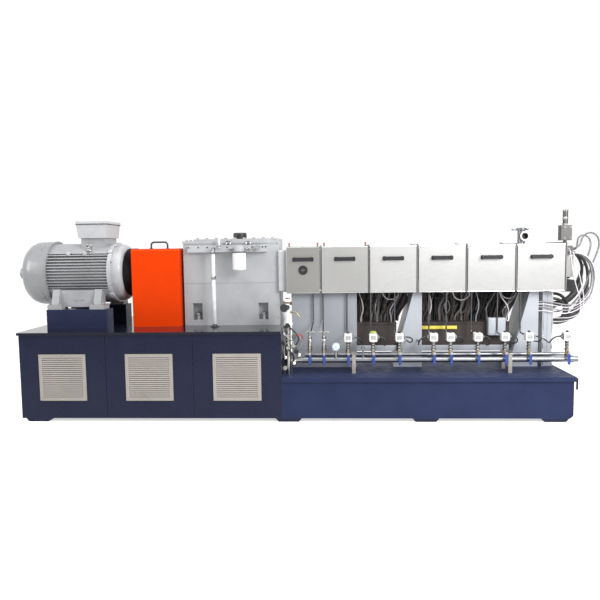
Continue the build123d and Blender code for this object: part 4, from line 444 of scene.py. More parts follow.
def finish(kind):
    """The finish of that name, made once from the paint settings."""
    tones = bpy.context.scene.extruder_paint
    brushed = {"stretch": (1, 1, 26), "scale": 34.0, "streak": 0.10, "depth": 0.0002, "anisotropic": 0.4}
    woven = {"roughness": 0.5, "grain": 120, "depth": 0.0006, "specular": 0.3}
    recipes = {
        "navy": lambda: paint("navy enamel", tones.base, roughness=0.30, peel=0.10, coat=0.10, specular=0.16,
                              rubbed=(0.05, 0.055, 0.09)),
        # The base's navy made lighter for the motor stand: painted light
        "navy_stand_painted_light": lambda: paint("navy enamel, painted light on the stand", shade(tones.base, 1.7), roughness=0.30, peel=0.10, coat=0.10,
                                    specular=0.16, rubbed=(0.06, 0.065, 0.10)),
        # The base's navy made lighter for the bed: painted light
        "navy_bed_painted_light": lambda: paint("navy enamel, painted light on the bed", tones.bed, roughness=0.42, peel=0.10, coat=0.0, specular=0.07,
                                  rubbed=(0.06, 0.07, 0.11)),
        "navy_plate": lambda: paint("navy gloss", shade(tones.plate, 0.55), roughness=0.14, peel=0.06, dust=0.06,
                                    coat=0.35, specular=0.2, rubbed=(0.05, 0.05, 0.08)),
        "vent_beige": lambda: paint("vent beige", tones.vent, roughness=0.5, peel=0.1, dust=0.06, coat=0.0),
        "machine_grey": lambda: cast_paint("drive grey", tones.machine),
        # Darker copies of the drive grey on motor, gearbox and fan cowl: painted shade
        "motor_grey_painted_shade": lambda: cast_paint("drive grey, painted shade on the motor", shade(tones.machine, 0.78)),
        "gearbox_grey_painted_shade": lambda: cast_paint("drive grey, painted shade on the gearbox", shade(tones.machine, 0.93)),
        # A lighter copy of the drive grey on the terminal box: painted light
        "box_grey_painted_light": lambda: paint("smooth drive grey, painted light", shade(tones.machine, 1.12), roughness=0.3, peel=0.1, dust=0.05,
                                  coat=0.3),
        "cowl_grey_painted_shade": lambda: paint("drive grey, painted shade on the cowl", shade(tones.machine, 0.62), roughness=0.3, peel=0.1, dust=0.05,
                                   coat=0.2, specular=0.4),
        "support_grey": lambda: paint("support grey", tones.support, roughness=0.36, peel=0.1, dust=0.06, coat=0.2),
        # The support grey made darker for the feed support: painted shade
        "support_shaded": lambda: paint("support grey, painted shade on the feed support", shade(tones.support, 0.72), roughness=0.36, peel=0.1,
                                        dust=0.06, coat=0.2),
        "guard_orange": lambda: paint("guard orange", tones.guard, roughness=0.38, peel=0.08, dust=0.04, coat=0.0,
                                      specular=0.08, rubbed=(0.80, 0.14, 0.03)),
        # The arches' dark grey stands for the shaded gaps between the covers: painted shade
        "arch_grey_painted_shade": lambda: paint("arch grey, painted shade", (0.19, 0.187, 0.183), roughness=0.42, peel=0.1, dust=0.12, coat=0.0,
                                   specular=0.3),
        "dark_steel": lambda: paint("dark steel paint", (0.105, 0.102, 0.098), roughness=0.45, peel=0.1, dust=0.15,
                                    coat=0.0, specular=0.3),
        "white_paint": lambda: paint("white enamel", (0.80, 0.80, 0.79), roughness=0.22, peel=0.05, dust=0.03,
                                     coat=0.4),
        # One brushed steel in three copies for the covers: darker as painted shade, lighter as painted reflection
        "steel_painted_shade": lambda: metal("brushed stainless, painted shade", (0.365, 0.36, 0.345), 0.36, tint=0.05, **brushed),
        "steel": lambda: metal("brushed stainless", (0.505, 0.502, 0.490), 0.34, tint=0.05, **brushed),
        "steel_painted_reflection": lambda: metal("brushed stainless, painted reflection", (0.645, 0.642, 0.632), 0.34, tint=0.03, **brushed),
        "bright_edge": lambda: metal("bright folded edge", (0.64, 0.64, 0.633), 0.16, streak=0.1, depth=0.0002,
                                     tint=0.05),
        "nickel": lambda: metal("nickel plate", (0.40, 0.393, 0.371), 0.24, scale=70.0, depth=0.0003, tint=0.35),
        "bronze": lambda: metal("dull bronze", (0.23, 0.176, 0.13), 0.42, scale=70.0, streak=0.14, depth=0.0005,
                                tint=0.2),
        "brass": lambda: metal("plated brass", (0.385, 0.318, 0.192), 0.30, scale=90.0, streak=0.1, depth=0.0003,
                               tint=0.2),
        "alloy": lambda: metal("cast alloy", (0.44, 0.44, 0.447), 0.42, scale=150.0, streak=0.14, depth=0.0006,
                               tint=0.08),
        "zinc": lambda: metal("zinc plate", (0.45, 0.45, 0.436), 0.32, scale=120.0, depth=0.0003),
        "tower": lambda: metal("sensor housing", (0.122, 0.118, 0.115), 0.38, stretch=(1, 1, 20), tint=0.14),
        "dark_tube": lambda: metal("dark steel tube", (0.145, 0.145, 0.152), 0.32, stretch=(30, 30, 1), scale=20.0,
                                   streak=0.10, depth=0.0002, tint=0.2),
        "machined": lambda: metal("machined steel", (0.24, 0.24, 0.247), 0.36, stretch=(24, 1, 1), scale=30.0,
                                  streak=0.14, tint=0.18),
        "pipe": lambda: metal("satin pipe", (0.230, 0.238, 0.256), 0.34, stretch=(1, 30, 30), scale=20.0, streak=0.10,
                              depth=0.0002, tint=0.16),
        "coil_white": lambda: moulded("coil white", (0.66, 0.66, 0.64), 0.4),
        "white_plastic": lambda: moulded("white moulding", (0.72, 0.73, 0.74), 0.35),
        "grey_plastic": lambda: moulded("grey moulding", (0.10, 0.10, 0.105), 0.4),
        "black_plastic": lambda: moulded("black moulding", (0.013, 0.013, 0.015), 0.34),
        "rubber": lambda: moulded("black rubber", (0.018, 0.018, 0.020), 0.55, grain=120, depth=0.0008),
        "lever_blue": lambda: moulded("lever sleeve", tones.lever, 0.30),
        "dial": lambda: moulded("gauge dial", (0.62, 0.72, 0.80), 0.5),
        "red": lambda: moulded("red moulding", (0.36, 0.02, 0.018), 0.35),
        "yellow": lambda: moulded("yellow strip", (0.72, 0.62, 0.08), 0.5),
        "green": lambda: moulded("green sleeve", (0.35, 0.42, 0.08), 0.45),
        # The trough's near-black brown stands for the shade it sits in: painted shade
        "trough_painted_shade": lambda: moulded("trough brown, painted shade", (0.050, 0.040, 0.038), 0.5, grain=90, depth=0.001,
                                       specular=0.25),
        "tube_brown": lambda: moulded("brown insulation", (0.075, 0.060, 0.054), **woven),
        "tube_black": lambda: moulded("black insulation", (0.016, 0.015, 0.016), **woven),
        "tube_grey": lambda: moulded("grey insulation", (0.17, 0.165, 0.165), **woven),
        "pale_cable": lambda: moulded("pale cable", (0.60, 0.57, 0.60), 0.4, grain=140),
        "grey_cable": lambda: moulded("grey cable", (0.30, 0.29, 0.31), 0.4, grain=140),
        "black_cable": lambda: moulded("black cable", (0.020, 0.018, 0.020), 0.36, grain=140),
        "conduit": lambda: wound_conduit("wound conduit", (0.28, 0.276, 0.28), pitch=240.0, metallic=0.8),
        "ribbed": lambda: wound_conduit("ribbed conduit", (0.05, 0.05, 0.055), pitch=90.0, metallic=0.0),
    }
    return recipes[kind]()


NODE_FINISHES = {
    "base_skids": "navy", "base_cabinet": "navy", "base_bed": "navy_bed_painted_light", "base_top_plate": "navy_plate",
    "vent_panels": "vent_beige", "motor_stand": "navy_stand_painted_light", "motor_frame": "motor_grey_painted_shade",
    "motor_fan_cowl": "cowl_grey_painted_shade", "motor_end_shield": "machine_grey", "motor_terminal_box": "box_grey_painted_light",
    "coupling": "machined", "coupling_guard": "guard_orange", "guard_handle": "black_plastic",
    "gearbox_housing": "gearbox_grey_painted_shade", "gearbox_lid": "gearbox_grey_painted_shade", "breather": "black_plastic",
    "lube_block": "machine_grey", "oil_filter": "white_paint", "oil_drain_pipe": "pipe",
    "barrel_adapter": "machine_grey", "barrel": "machined", "barrel_heaters": "alloy", "die_head": "machined",
    "cover_arches": "arch_grey_painted_shade", "cover_backs": "steel", "feed_support": "support_shaded",
    "barrel_pedestals": "support_grey", "wiring_trough": "trough_painted_shade", "cable_duct": "support_grey",
    "end_box": "black_plastic", "vent_port": "pipe", "melt_sensor": "tower", "line_brackets": "vent_beige",
    "shutoff_valves": "brass", "valve_levers": "lever_blue", "solenoid_valves": "coil_white",
    "coolant_tubes": "dark_tube", "pressure_gauge": "zinc", "water_inlet": "nickel", "water_pipes": "pipe",
    "inlet_elbow": "white_plastic", "drain_spout": "rubber",
}
# Covers whose steel differs from the rest: darker copies of one brushed steel as painted shade on the first two, and a
# lighter copy as painted reflection on the others
COVER_STEELS = {1: "steel_painted_shade", 2: "steel"}


# Cords: routes in metres, as in the solids

def metres(route):
    """A route given in millimetres, in metres."""
    return [(x / 1000, y / 1000, z / 1000) for x, y, z in route]


SENSOR_CONDUIT_ROUTES = (
    ((2262.1, -20, 1290), (2302, -20, 1290), (2331, -27, 1312), (2341, -30, 1354), (2356, -36, 1391),
     (2389, -45, 1413), (2431, -43, 1410), (2464, -41, 1384), (2480, -40, 1341), (2475, -40, 1288),
     (2455, -40, 1227), (2428, -40, 1160), (2404, -46, 1088), (2376, -70, 1017), (2340, -96, 950),
     (2295, -102, 889), (2242, -117, 837), (2183, -123, 800), (2124, -126, 781), (2090, -126, 781)),
    ((2262.1, 14, 1274), (2302, 14, 1274), (2330, 26, 1294), (2340, 42, 1334), (2354, 64, 1371),
     (2384, 86, 1394), (2424, 96, 1396), (2458, 102, 1374), (2476, 105, 1337), (2474, 107, 1287),
     (2458, 108, 1229), (2432, 108, 1166), (2400, 108, 1099), (2374, 106, 1028), (2342, 95, 959),
     (2300, 80, 895), (2250, 80, 841), (2193, 80, 801), (2131, 80, 777), (2072, 80, 769),
     (2020, 80, 771), (1970.05, 80, 771)),
)
POWER_ROUTES = (
    ((2262.1, 24, 1254), (2308, 24, 1254), (2356, 33, 1233), (2395, 42, 1193), (2422, 45, 1137),
     (2433, 45, 1070), (2431, 40, 996), (2415, 36, 920), (2385, 32, 847), (2343, 17, 784), (2288, 1, 735),
     (2223, 0, 703), (2156, 0, 691), (2094, 0, 696), (2039, 0, 704), (1970.05, 0, 704)),
    ((2262.1, 52, 1254), (2304, 52, 1254), (2345, 61, 1234), (2378, 78, 1196), (2396, 78, 1145),
     (2398, 76, 1087), (2385, 74, 1026), (2360, 64, 965), (2324, 48, 910), (2275, 38, 866),
     (2217, 36, 838), (2156, 35, 825), (2096, 34, 823), (2041, 34, 829), (1970.05, 34, 829)),
    ((2090, -62, 926), (2142, -62, 926), (2195, -62, 898), (2230, -62, 842), (2230, -62, 774),
     (2197, -62, 717), (2145, -62, 687), (2090, -62, 687)),
    ((2090, -94, 886), (2130, -94, 886), (2170, -94, 863), (2195, -94, 820), (2195, -94, 768),
     (2170, -94, 724), (2130, -94, 701), (2090, -94, 701)),
)
HEATER_CABLE_ROUTES = (
    ((2262.1, -46, 1252), (2314, -46, 1252), (2364, -74, 1227), (2402, -88, 1183), (2423, -96, 1125),
     (2428, -104, 1059), (2418, -119, 990), (2394, -136, 922), (2357, -141, 860), (2306, -133, 812),
     (2245, -142, 781), (2183, -149, 769), (2123, -151, 772), (2066, -152, 786), (2026, -149, 792),
     (1996, -143, 793), (1970.05, -143, 793)),
    ((2262.1, -32, 1252), (2312, -32, 1252), (2359, -58, 1229), (2395, -74, 1186), (2417, -82, 1132),
     (2423, -90, 1070), (2416, -104, 1003), (2396, -120, 938), (2361, -128, 879), (2313, -127, 834),
     (2255, -138, 805), (2195, -148, 793), (2138, -152, 796), (2085, -152, 809), (2026, -149, 823),
     (1996, -143, 824), (1970.05, -143, 824)),
    ((2262.1, -18, 1252), (2309, -18, 1252), (2354, -42, 1230), (2388, -60, 1190), (2410, -68, 1139),
     (2419, -76, 1080), (2414, -88, 1017), (2398, -104, 955), (2364, -118, 899), (2318, -119, 856),
     (2264, -132, 828), (2207, -146, 817), (2153, -152, 820), (2102, -152, 833), (2058, -152, 840),
     (2026, -149, 846), (1996, -143, 847), (1970.05, -143, 847)),
    ((2262.1, -4, 1252), (2307, -4, 1252), (2350, -26, 1231), (2382, -46, 1193), (2406, -54, 1145),
     (2415, -59, 1089), (2413, -69, 1029), (2399, -82, 968), (2367, -99, 915), (2323, -103, 874),
     (2271, -120, 848), (2217, -143, 837), (2166, -152, 840), (2117, -152, 852), (2075, -152, 859),
     (2026, -149, 865), (1996, -143, 866), (1970.05, -143, 866)),
)
SIGNAL_ROUTES = (
    ((2215, -60, 1290), (2215, -96, 1290), (2212, -130, 1275), (2208, -160, 1238), (2207, -182, 1182),
     (2211, -196, 1120), (2221, -204, 1056), (2236, -208, 994), (2255, -210, 934), (2272, -208, 876),
     (2280, -204, 820), (2270, -196, 770), (2240, -184, 734), (2196, -166, 714), (2152, -142, 704),
     (2118, -122, 700), (2090, -122, 700)),
    ((2240, -60, 1262), (2240, -98, 1262), (2243, -132, 1244), (2248, -158, 1204), (2256, -176, 1150),
     (2266, -186, 1090), (2278, -192, 1028), (2292, -194, 966), (2304, -192, 906), (2306, -188, 848),
     (2292, -182, 796), (2262, -175, 758), (2218, -162, 738), (2172, -144, 732), (2126, -124, 732),
     (2090, -124, 732)),
)
VALVE_CONDUITS = (
    (440, -100, 0), (634, -100, 14), (835, -150, -8), (1097, -150, 10), (1227, -100, -4),
    (1434, -100, 16), (1639, -100, 4), (1821, -150, -10), (2107, -136, 0),
)
HEATER_BOTTOM = 1045
HEATER_LEADS = (
    (524, 556, 34), (720, 690, -30), (890, 806, -34), (1095, 1110, 30), (1290, 1262, -36),
    (1480, 1496, 28), (1664, 1744, 34), (1850, 1722, -40),
)
HEATER_LOOPS = (
    (546, 692, 56), (738, 872, 70), (1122, 1262, 62), (1312, 1452, 76), (1508, 1645, 58), (1698, 1830, 72),
)


def valve_conduit_route(x, end_y, droop, side):
    """Points of one valve's conduit, from its gland to the face that it enters."""
    return (
        (x + side * 46, -380, 621), (x + side * 74, -380, 621), (x + side * 100, -368, 604 - droop / 2),
        (x + side * 108, -340, 578 - droop), (x + side * 102, -302, 560 - droop), (x + side * 94, -262, 553 - droop),
        (x + side * 90, (end_y - 262) / 2 - 18, 556 - droop / 2), (x + side * 88, end_y - 34, 562),
        (x + side * 88, end_y, 562),
    )


def heater_lead_route(start, end, lean):
    """Points of one lead hanging from a heater to the top of the trough."""
    return (
        (start, -52, HEATER_BOTTOM), (start, -52, 1000), (start + lean / 2, -60, 950),
        (start + lean, -72, 897), ((start + end) / 2 + lean, -82, 842), (end + lean / 2, -78, 790),
        (end, -64, 744), (end, -64, 702),
    )


def heater_loop_route(left, right, drop):
    """Points of one loop slung under two heaters: two legs and five corners round half a circle."""
    middle = (left + right) / 2
    half = (right - left) / 2
    corner = math.radians(36)
    reach = half / math.cos(corner / 2)
    centre_z = HEATER_BOTTOM - drop - half * math.tan(corner / 2)
    bend = [
        (middle - reach * math.cos(corner * (step + 0.5)), -44, centre_z - reach * math.sin(corner * (step + 0.5)))
        for step in range(5)
    ]
    knee = HEATER_BOTTOM - drop / 2
    return [(left, -34, HEATER_BOTTOM), (left, -34, knee), *bend, (right, -34, knee), (right, -34, HEATER_BOTTOM)]


def line_length(points):
    """Length of a run of points: the sum of the distances between neighbours."""
    return float(np.linalg.norm(np.diff(np.array(points, float), axis=0), axis=1).sum())


def nurbs_curve(name, route, steps):
    """A curve with one quadratic NURBS line through its end points, drawn with that many steps for each point."""
    curve = bpy.data.curves.new(name, "CURVE")
    curve.dimensions = "3D"
    spline = curve.splines.new("NURBS")
    spline.points.add(len(route) - 1)
    spline.points.foreach_set("co", np.column_stack([np.array(route), np.ones(len(route))]).ravel())
    spline.order_u = 3
    spline.use_endpoint_u = True
    spline.resolution_u = steps
    return curve


def smooth_line(route):
    """Points of a route's NURBS line, read from a curve without thickness."""
    curve = nurbs_curve("line", route, LENGTH_STEPS)
    carrier = bpy.data.objects.new("line", curve)
    mesh = bpy.data.meshes.new_from_object(carrier)
    points = np.array([vertex.co[:] for vertex in mesh.vertices])
    bpy.data.objects.remove(carrier)
    bpy.data.meshes.remove(mesh)
    bpy.data.curves.remove(curve)
    return points


def add_cord(name, route, diameter, node, kind):
    """A cord as a smooth curve with its round section; the length of its line is worked out and not kept."""
    route = metres(route)
    curve = nurbs_curve(name, route, CORD_STEPS)
    curve.bevel_depth = diameter / 2
    curve.bevel_resolution = 3
    curve.use_fill_caps = True
    curve.materials.append(finish(kind))
    piece = bpy.data.objects.new(name, curve)
    bpy.context.scene.collection.objects.link(piece)
    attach(piece, MACHINE)
    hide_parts(node)
    line_length(smooth_line(route))


class EXTRUDER_OT_sensor_cords(bpy.types.Operator):
    """Conduits, black cables and pale cables between the end of the barrel, the duct and the last pedestal."""
    bl_idname = "extruder.sensor_cords"
    bl_label = "Sensor and power cords"

    def execute(self, context):
        sizes = context.scene.extruder_cords
        for index, route in enumerate(SENSOR_CONDUIT_ROUTES):
            add_cord(f"sensor_conduit_{index + 1}", route, sizes.conduit, "sensor_conduits", "conduit")
        for index, route in enumerate(POWER_ROUTES):
            add_cord(f"power_cable_{index + 1}", route, sizes.power, "power_cables", "black_cable")
        for index, route in enumerate(HEATER_CABLE_ROUTES):
            kind = "pale_cable" if index % 2 == 0 else "grey_cable"
            add_cord(f"heater_cable_{index + 1}", route, sizes.heater, "heater_cables", kind)
        for index, route in enumerate(SIGNAL_ROUTES):
            add_cord(f"signal_cable_{index + 1}", route, sizes.signal, "signal_cables", "pale_cable")
        return {"FINISHED"}


class EXTRUDER_OT_barrel_cords(bpy.types.Operator):
    """Conduits of the solenoid valves, and leads and loops under the heaters."""
    bl_idname = "extruder.barrel_cords"
    bl_label = "Valve conduits and heater leads"

    def execute(self, context):
        sizes = context.scene.extruder_cords
        for index, (place, side) in enumerate(zip(VALVE_CONDUITS, GLAND_SIDES)):
            route = valve_conduit_route(*place, side)
            add_cord(f"valve_conduit_{index + 1}", route, sizes.valve, "valve_conduits", "ribbed")
        for index, place in enumerate(HEATER_LEADS):
            kind = ("pale_cable", "conduit", "grey_cable")[index % 3]
            add_cord(f"heater_lead_{index + 1}", heater_lead_route(*place), sizes.lead, "heater_leads", kind)
        for index, place in enumerate(HEATER_LOOPS):
            kind = "black_cable" if index % 2 == 0 else "pale_cable"
            add_cord(f"heater_loop_{index + 1}", heater_loop_route(*place), sizes.lead, "heater_leads", kind)
        return {"FINISHED"}


# Fittings and fasteners

FRONT, BACK, RIGHT, LEFT = (0, -1, 0), (0, 1, 0), (1, 0, 0), (-1, 0, 0)


def heads(shape, direction, places):
    """A fastener turned to a direction and set at each place."""
    return at(aimed(shape, direction), *places)


def raised(shape, height):
    """The shape moved up."""
    return at(shape, (0, 0, height))


def in_row(shape, xs, y, z=0.0):
    """A copy of the shape at each place along X."""
    return at(shape, *[(x, y, z) for x in xs])


def nut(radius, height):
    """Hexagon collar with chamfered ends."""
    return turned([(0.86 * radius, 0), (radius, 0.12 * height), (radius, 0.88 * height), (0.86 * radius, height)], 6)


def bent(path, radius, sides=10):
    """A rigid tube through a few points, its corners cut three times: p = 3/4 a + 1/4 b and 1/4 a + 3/4 b."""
    path = np.array(path, float)
    for _ in range(3):
        near = 0.75 * path[:-1] + 0.25 * path[1:]
        far = 0.25 * path[:-1] + 0.75 * path[1:]
        path = np.concatenate([path[:1], np.stack([near, far], axis=1).reshape(-1, 3)[1:-1], path[-1:]])
    return tube(path, radius, sides)


def around_shaft(shape, angles):
    """Copies turned about the shaft's line: y' = y cos a - z sin a, z' = y sin a + z cos a + height of the shaft."""
    points, quads = shape
    turn = np.radians(np.asarray(angles, float))[:, None]
    x, y, z = points.T[:, None, :]
    spun = np.stack([x + 0 * turn, y * np.cos(turn) - z * np.sin(turn), y * np.sin(turn) + z * np.cos(turn) + AXIS_Z],
                    axis=-1)
    steps = np.arange(len(turn))[:, None, None] * len(points)
    return spun.reshape(-1, 3), (quads[None] + steps).reshape(-1, 4)


def corners(low, high, inset):
    """The four corners of a rectangle, drawn in."""
    (x0, z0), (x1, z1) = low, high
    return [(x, z) for x in (x0 + inset, x1 - inset) for z in (z0 + inset, z1 - inset)]


# Base: doors along it, inset of the vent screws, and lip and half thickness of the gaskets
DOORS = 3
VENT_SCREW_INSET = 0.010
GASKET_LIP, GASKET_HALF = 0.003, 0.0015


class EXTRUDER_OT_base_trim(bpy.types.Operator):
    """Screws and gaskets of the vent panels, on both sides of the base."""
    bl_idname = "extruder.base_trim"
    bl_label = "Base trim"

    def execute(self, context):
        screw = cap_screw(context.scene.extruder_fasteners.small * 0.8, 0.003)
        low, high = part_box("base_cabinet")
        (panels_left, panels_front, bottom), (_, panels_back, top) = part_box("vent_panels")
        door = (high[0] - low[0]) / DOORS
        reach = door / 2 - (panels_left - low[0])
        screws, gaskets = [], []
        for direction, face, skin in ((FRONT, panels_front, low[1]), (BACK, panels_back, high[1])):
            for number in range(DOORS):
                middle = low[0] + door * (number + 0.5)
                places = corners((middle - reach, bottom), (middle + reach, top), VENT_SCREW_INSET)
                places += [(middle, bottom + VENT_SCREW_INSET), (middle, top - VENT_SCREW_INSET)]
                screws.append(heads(screw, direction, [(x, face, z) for x, z in places]))
                gaskets.append(block((middle - reach - GASKET_LIP, skin - GASKET_HALF, bottom - GASKET_LIP),
                                     (middle + reach + GASKET_LIP, skin + GASKET_HALF, top + GASKET_LIP),
                                     0.001, 0.0005))
        add_piece("vent_screws", joined(*screws), "zinc")
        add_piece("vent_gaskets", joined(*gaskets), "rubber")
        return {"FINISHED"}


# Motor: the fan cowl's radius and distance from the frame, and its domed part from the hub outwards
COWL_PROFILE = (
    (0.2600, 0.000), (0.2640, 0.003), (0.2640, 0.120), (0.2590, 0.150), (0.2450, 0.182), (0.2180, 0.212),
    (0.1680, 0.240), (0.1120, 0.257), (0.0640, 0.265), (0.0570, 0.270), (0.0480, 0.322), (0.0380, 0.330),
)
COWL_DOME = COWL_PROFILE[:4:-1]
COWL_RADIUS = 0.264
COWL_SCREW_X = -2.072
GRILLE_RADII = (0.066, 0.082, 0.098)
EYE_PLACE, EYE_LEAN = (-1.672, -0.165, 1.326), (0.22, -0.55, 0.8)
BOSS_XS, BOSS_LEAN = (-1.842, -1.705), (0, -0.76, 0.65)
# End shield: where the frame ends, the shield's face and its rim's radius
FRAME_RIGHT, SHIELD_FACE, SHIELD_RIM = -1.506, -1.394, 0.250
# Gaiter between shield and guard: radii of its valleys and ends, depth and pitch of its folds
GAITER_RADIUS, GAITER_END, FOLD_DEPTH, FOLD_PITCH, FOLDS = 0.193, 0.186, 0.007, 0.0028, 25
FOOT_XS, FOOT_HALF, FOOT_Y, FOOT_Z = (-1.932, -1.583), 0.044, 0.264, 0.881
EARTH_XS, EARTH_Y, EARTH_Z = (-1.775, -1.730), -0.230, 0.921


class EXTRUDER_OT_motor_trim(bpy.types.Operator):
    """Motor: fan cowl with its grille and hem, lifting eye, shield bolts, gaiter, terminal box and foot bolts."""
    bl_idname = "extruder.motor_trim"
    bl_label = "Motor trim"

    def execute(self, context):
        sizes = context.scene.extruder_fasteners
        frame_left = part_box("motor_frame")[0][0]
        shell = aimed(turned(COWL_PROFILE, 72), LEFT)
        piece = add_piece("fan_cowl", at(shell, (frame_left, 0, AXIS_Z)), "cowl_grey_painted_shade", sharp=24)
        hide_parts("motor_fan_cowl")
        radii, heights = np.array(COWL_DOME).T
        grille = [(radius, 0.0026, 48, 8, height)
                  for radius, height in zip(GRILLE_RADII, np.interp(GRILLE_RADII, radii, heights))]
        hem = [(COWL_RADIUS, 0.0042, 72, 10, 0.004), (COWL_RADIUS - 0.0006, 0.0022, 72, 8, 0.052)]
        for name, rows, kind in (("cowl_grille", grille, "dark_steel"), ("cowl_hem", hem, "cowl_grey_painted_shade")):
            rings = [at(aimed(ring(*row), RIGHT), (frame_left - step, 0, AXIS_Z)) for *row, step in rows]
            add_piece(name, joined(*rings), kind)
        screw = at(cap_screw(sizes.small * 1.15, 0.005), (COWL_SCREW_X, 0, COWL_RADIUS - 0.001))
        add_piece("cowl_screws", around_shaft(screw, (40, 140, 220, 320)), "zinc")

        eye = joined(turned([(0.019, -0.014), (0.019, 0.006), (0.012, 0.012), (0.010, 0.016)], 24),
                     raised(aimed(ring(0.0185, 0.0068, 36, 12), FRONT), 0.036))
        add_piece("lifting_eye", at(aimed(eye, EYE_LEAN), EYE_PLACE), "nickel")
        boss = joined(turned([(0.017, -0.012), (0.017, 0.004), (0.012, 0.009)], 24),
                      raised(hex_bolt(0.009, 0.008), 0.008))
        add_piece("frame_bosses", in_row(aimed(boss, BOSS_LEAN), BOSS_XS, -0.190, 1.300), "machine_grey")

        bolt = at(aimed(hex_bolt(0.0075, 0.008), RIGHT), (FRAME_RIGHT + 0.0305, 0, SHIELD_RIM - 0.0085))
        turns = np.arange(sizes.rim) * 360.0 / sizes.rim + 22.5
        add_piece("shield_bolts", around_shaft(bolt, turns), "zinc")
        lug = block((FRAME_RIGHT - 0.004, -0.021, SHIELD_RIM - 0.010), (FRAME_RIGHT + 0.031, 0.021, SHIELD_RIM + 0.011),
                    0.008, 0.003)
        add_piece("shield_lugs", around_shaft(lug, (45, 135, 225, 315)), "machine_grey")
        folds = [(GAITER_RADIUS + FOLD_DEPTH * (fold % 2), FOLD_PITCH * fold) for fold in range(FOLDS)]
        gaiter = aimed(turned([(GAITER_END, -0.004), *folds, (GAITER_END, 0.072)], 64), RIGHT)
        add_piece("coupling_shroud", at(gaiter, (SHIELD_FACE + 0.004, 0, AXIS_Z)), "rubber")

        low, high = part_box("motor_terminal_box")
        middle = (low[0] + high[0]) / 2
        lid = at(slab(high[0] - low[0] + 0.004, high[1] - low[1] + 0.004, 0.005, 0.012, 0.0012),
                 (middle, (low[1] + high[1]) / 2, high[2] - 0.026))
        add_piece("lid_gasket", lid, "rubber")
        places = [(x, y, high[2] - 0.0003) for x, y in corners(low[:2], high[:2], 0.020)]
        add_piece("lid_screws", at(cap_screw(sizes.small, 0.004), *places), "zinc")
        gland = joined(nut(0.022, 0.014), raised(turned([(0.018, 0), (0.018, 0.012), (0.013, 0.020)], 24), 0.014))
        add_piece("motor_glands", in_row(aimed(gland, BACK), (middle - 0.055, middle + 0.055), high[1] - 0.016,
                                         low[2] + 0.058), "black_plastic")
        places = [(x + step, y, FOOT_Z) for x in FOOT_XS for step in (-FOOT_HALF, FOOT_HALF) for y in (-FOOT_Y, FOOT_Y)]
        add_piece("foot_bolts", at(hex_bolt(0.013, 0.012), *places), "zinc")
        add_piece("earth_bolts", in_row(aimed(hex_bolt(0.008, 0.008), FRONT), EARTH_XS, EARTH_Y, EARTH_Z), "zinc")
        return {"FINISHED"}


# Gearbox: places of its lid's bolts and of the seam round it
LID_BOLT_XS, LID_BOLT_YS = np.linspace(-0.780, -0.160, 9), (-0.128, 0.198)
STEP_BOLT_XS, STEP_BOLT_YS, STEP_DOWN = (-0.872, -0.840), (-0.120, 0.190), 0.014
SEAM_X0, SEAM_X1, SEAM_Z0, SEAM_Z1 = -0.8932, -0.1325, 1.0410, 1.0428
SEAM_YS = ((-0.1606, -0.1590), (0.2288, 0.2306))
# Lubrication block: its front face, top line, screws, plugs and small lines
BLOCK_FRONT, LINE_Y = -0.200, -0.180
BLOCK_SCREW_XS = (-0.838, -0.759, -0.685, -0.524, -0.320, -0.236, -0.211)
FRONT_PLUG_XS, TOP_PLUG_XS = (-0.494, -0.345, -0.300), (-0.534, -0.500, -0.372, -0.336)
STUB_X, STUB_Y = -0.586, -0.2085
DRAIN = (-0.628, -0.260)


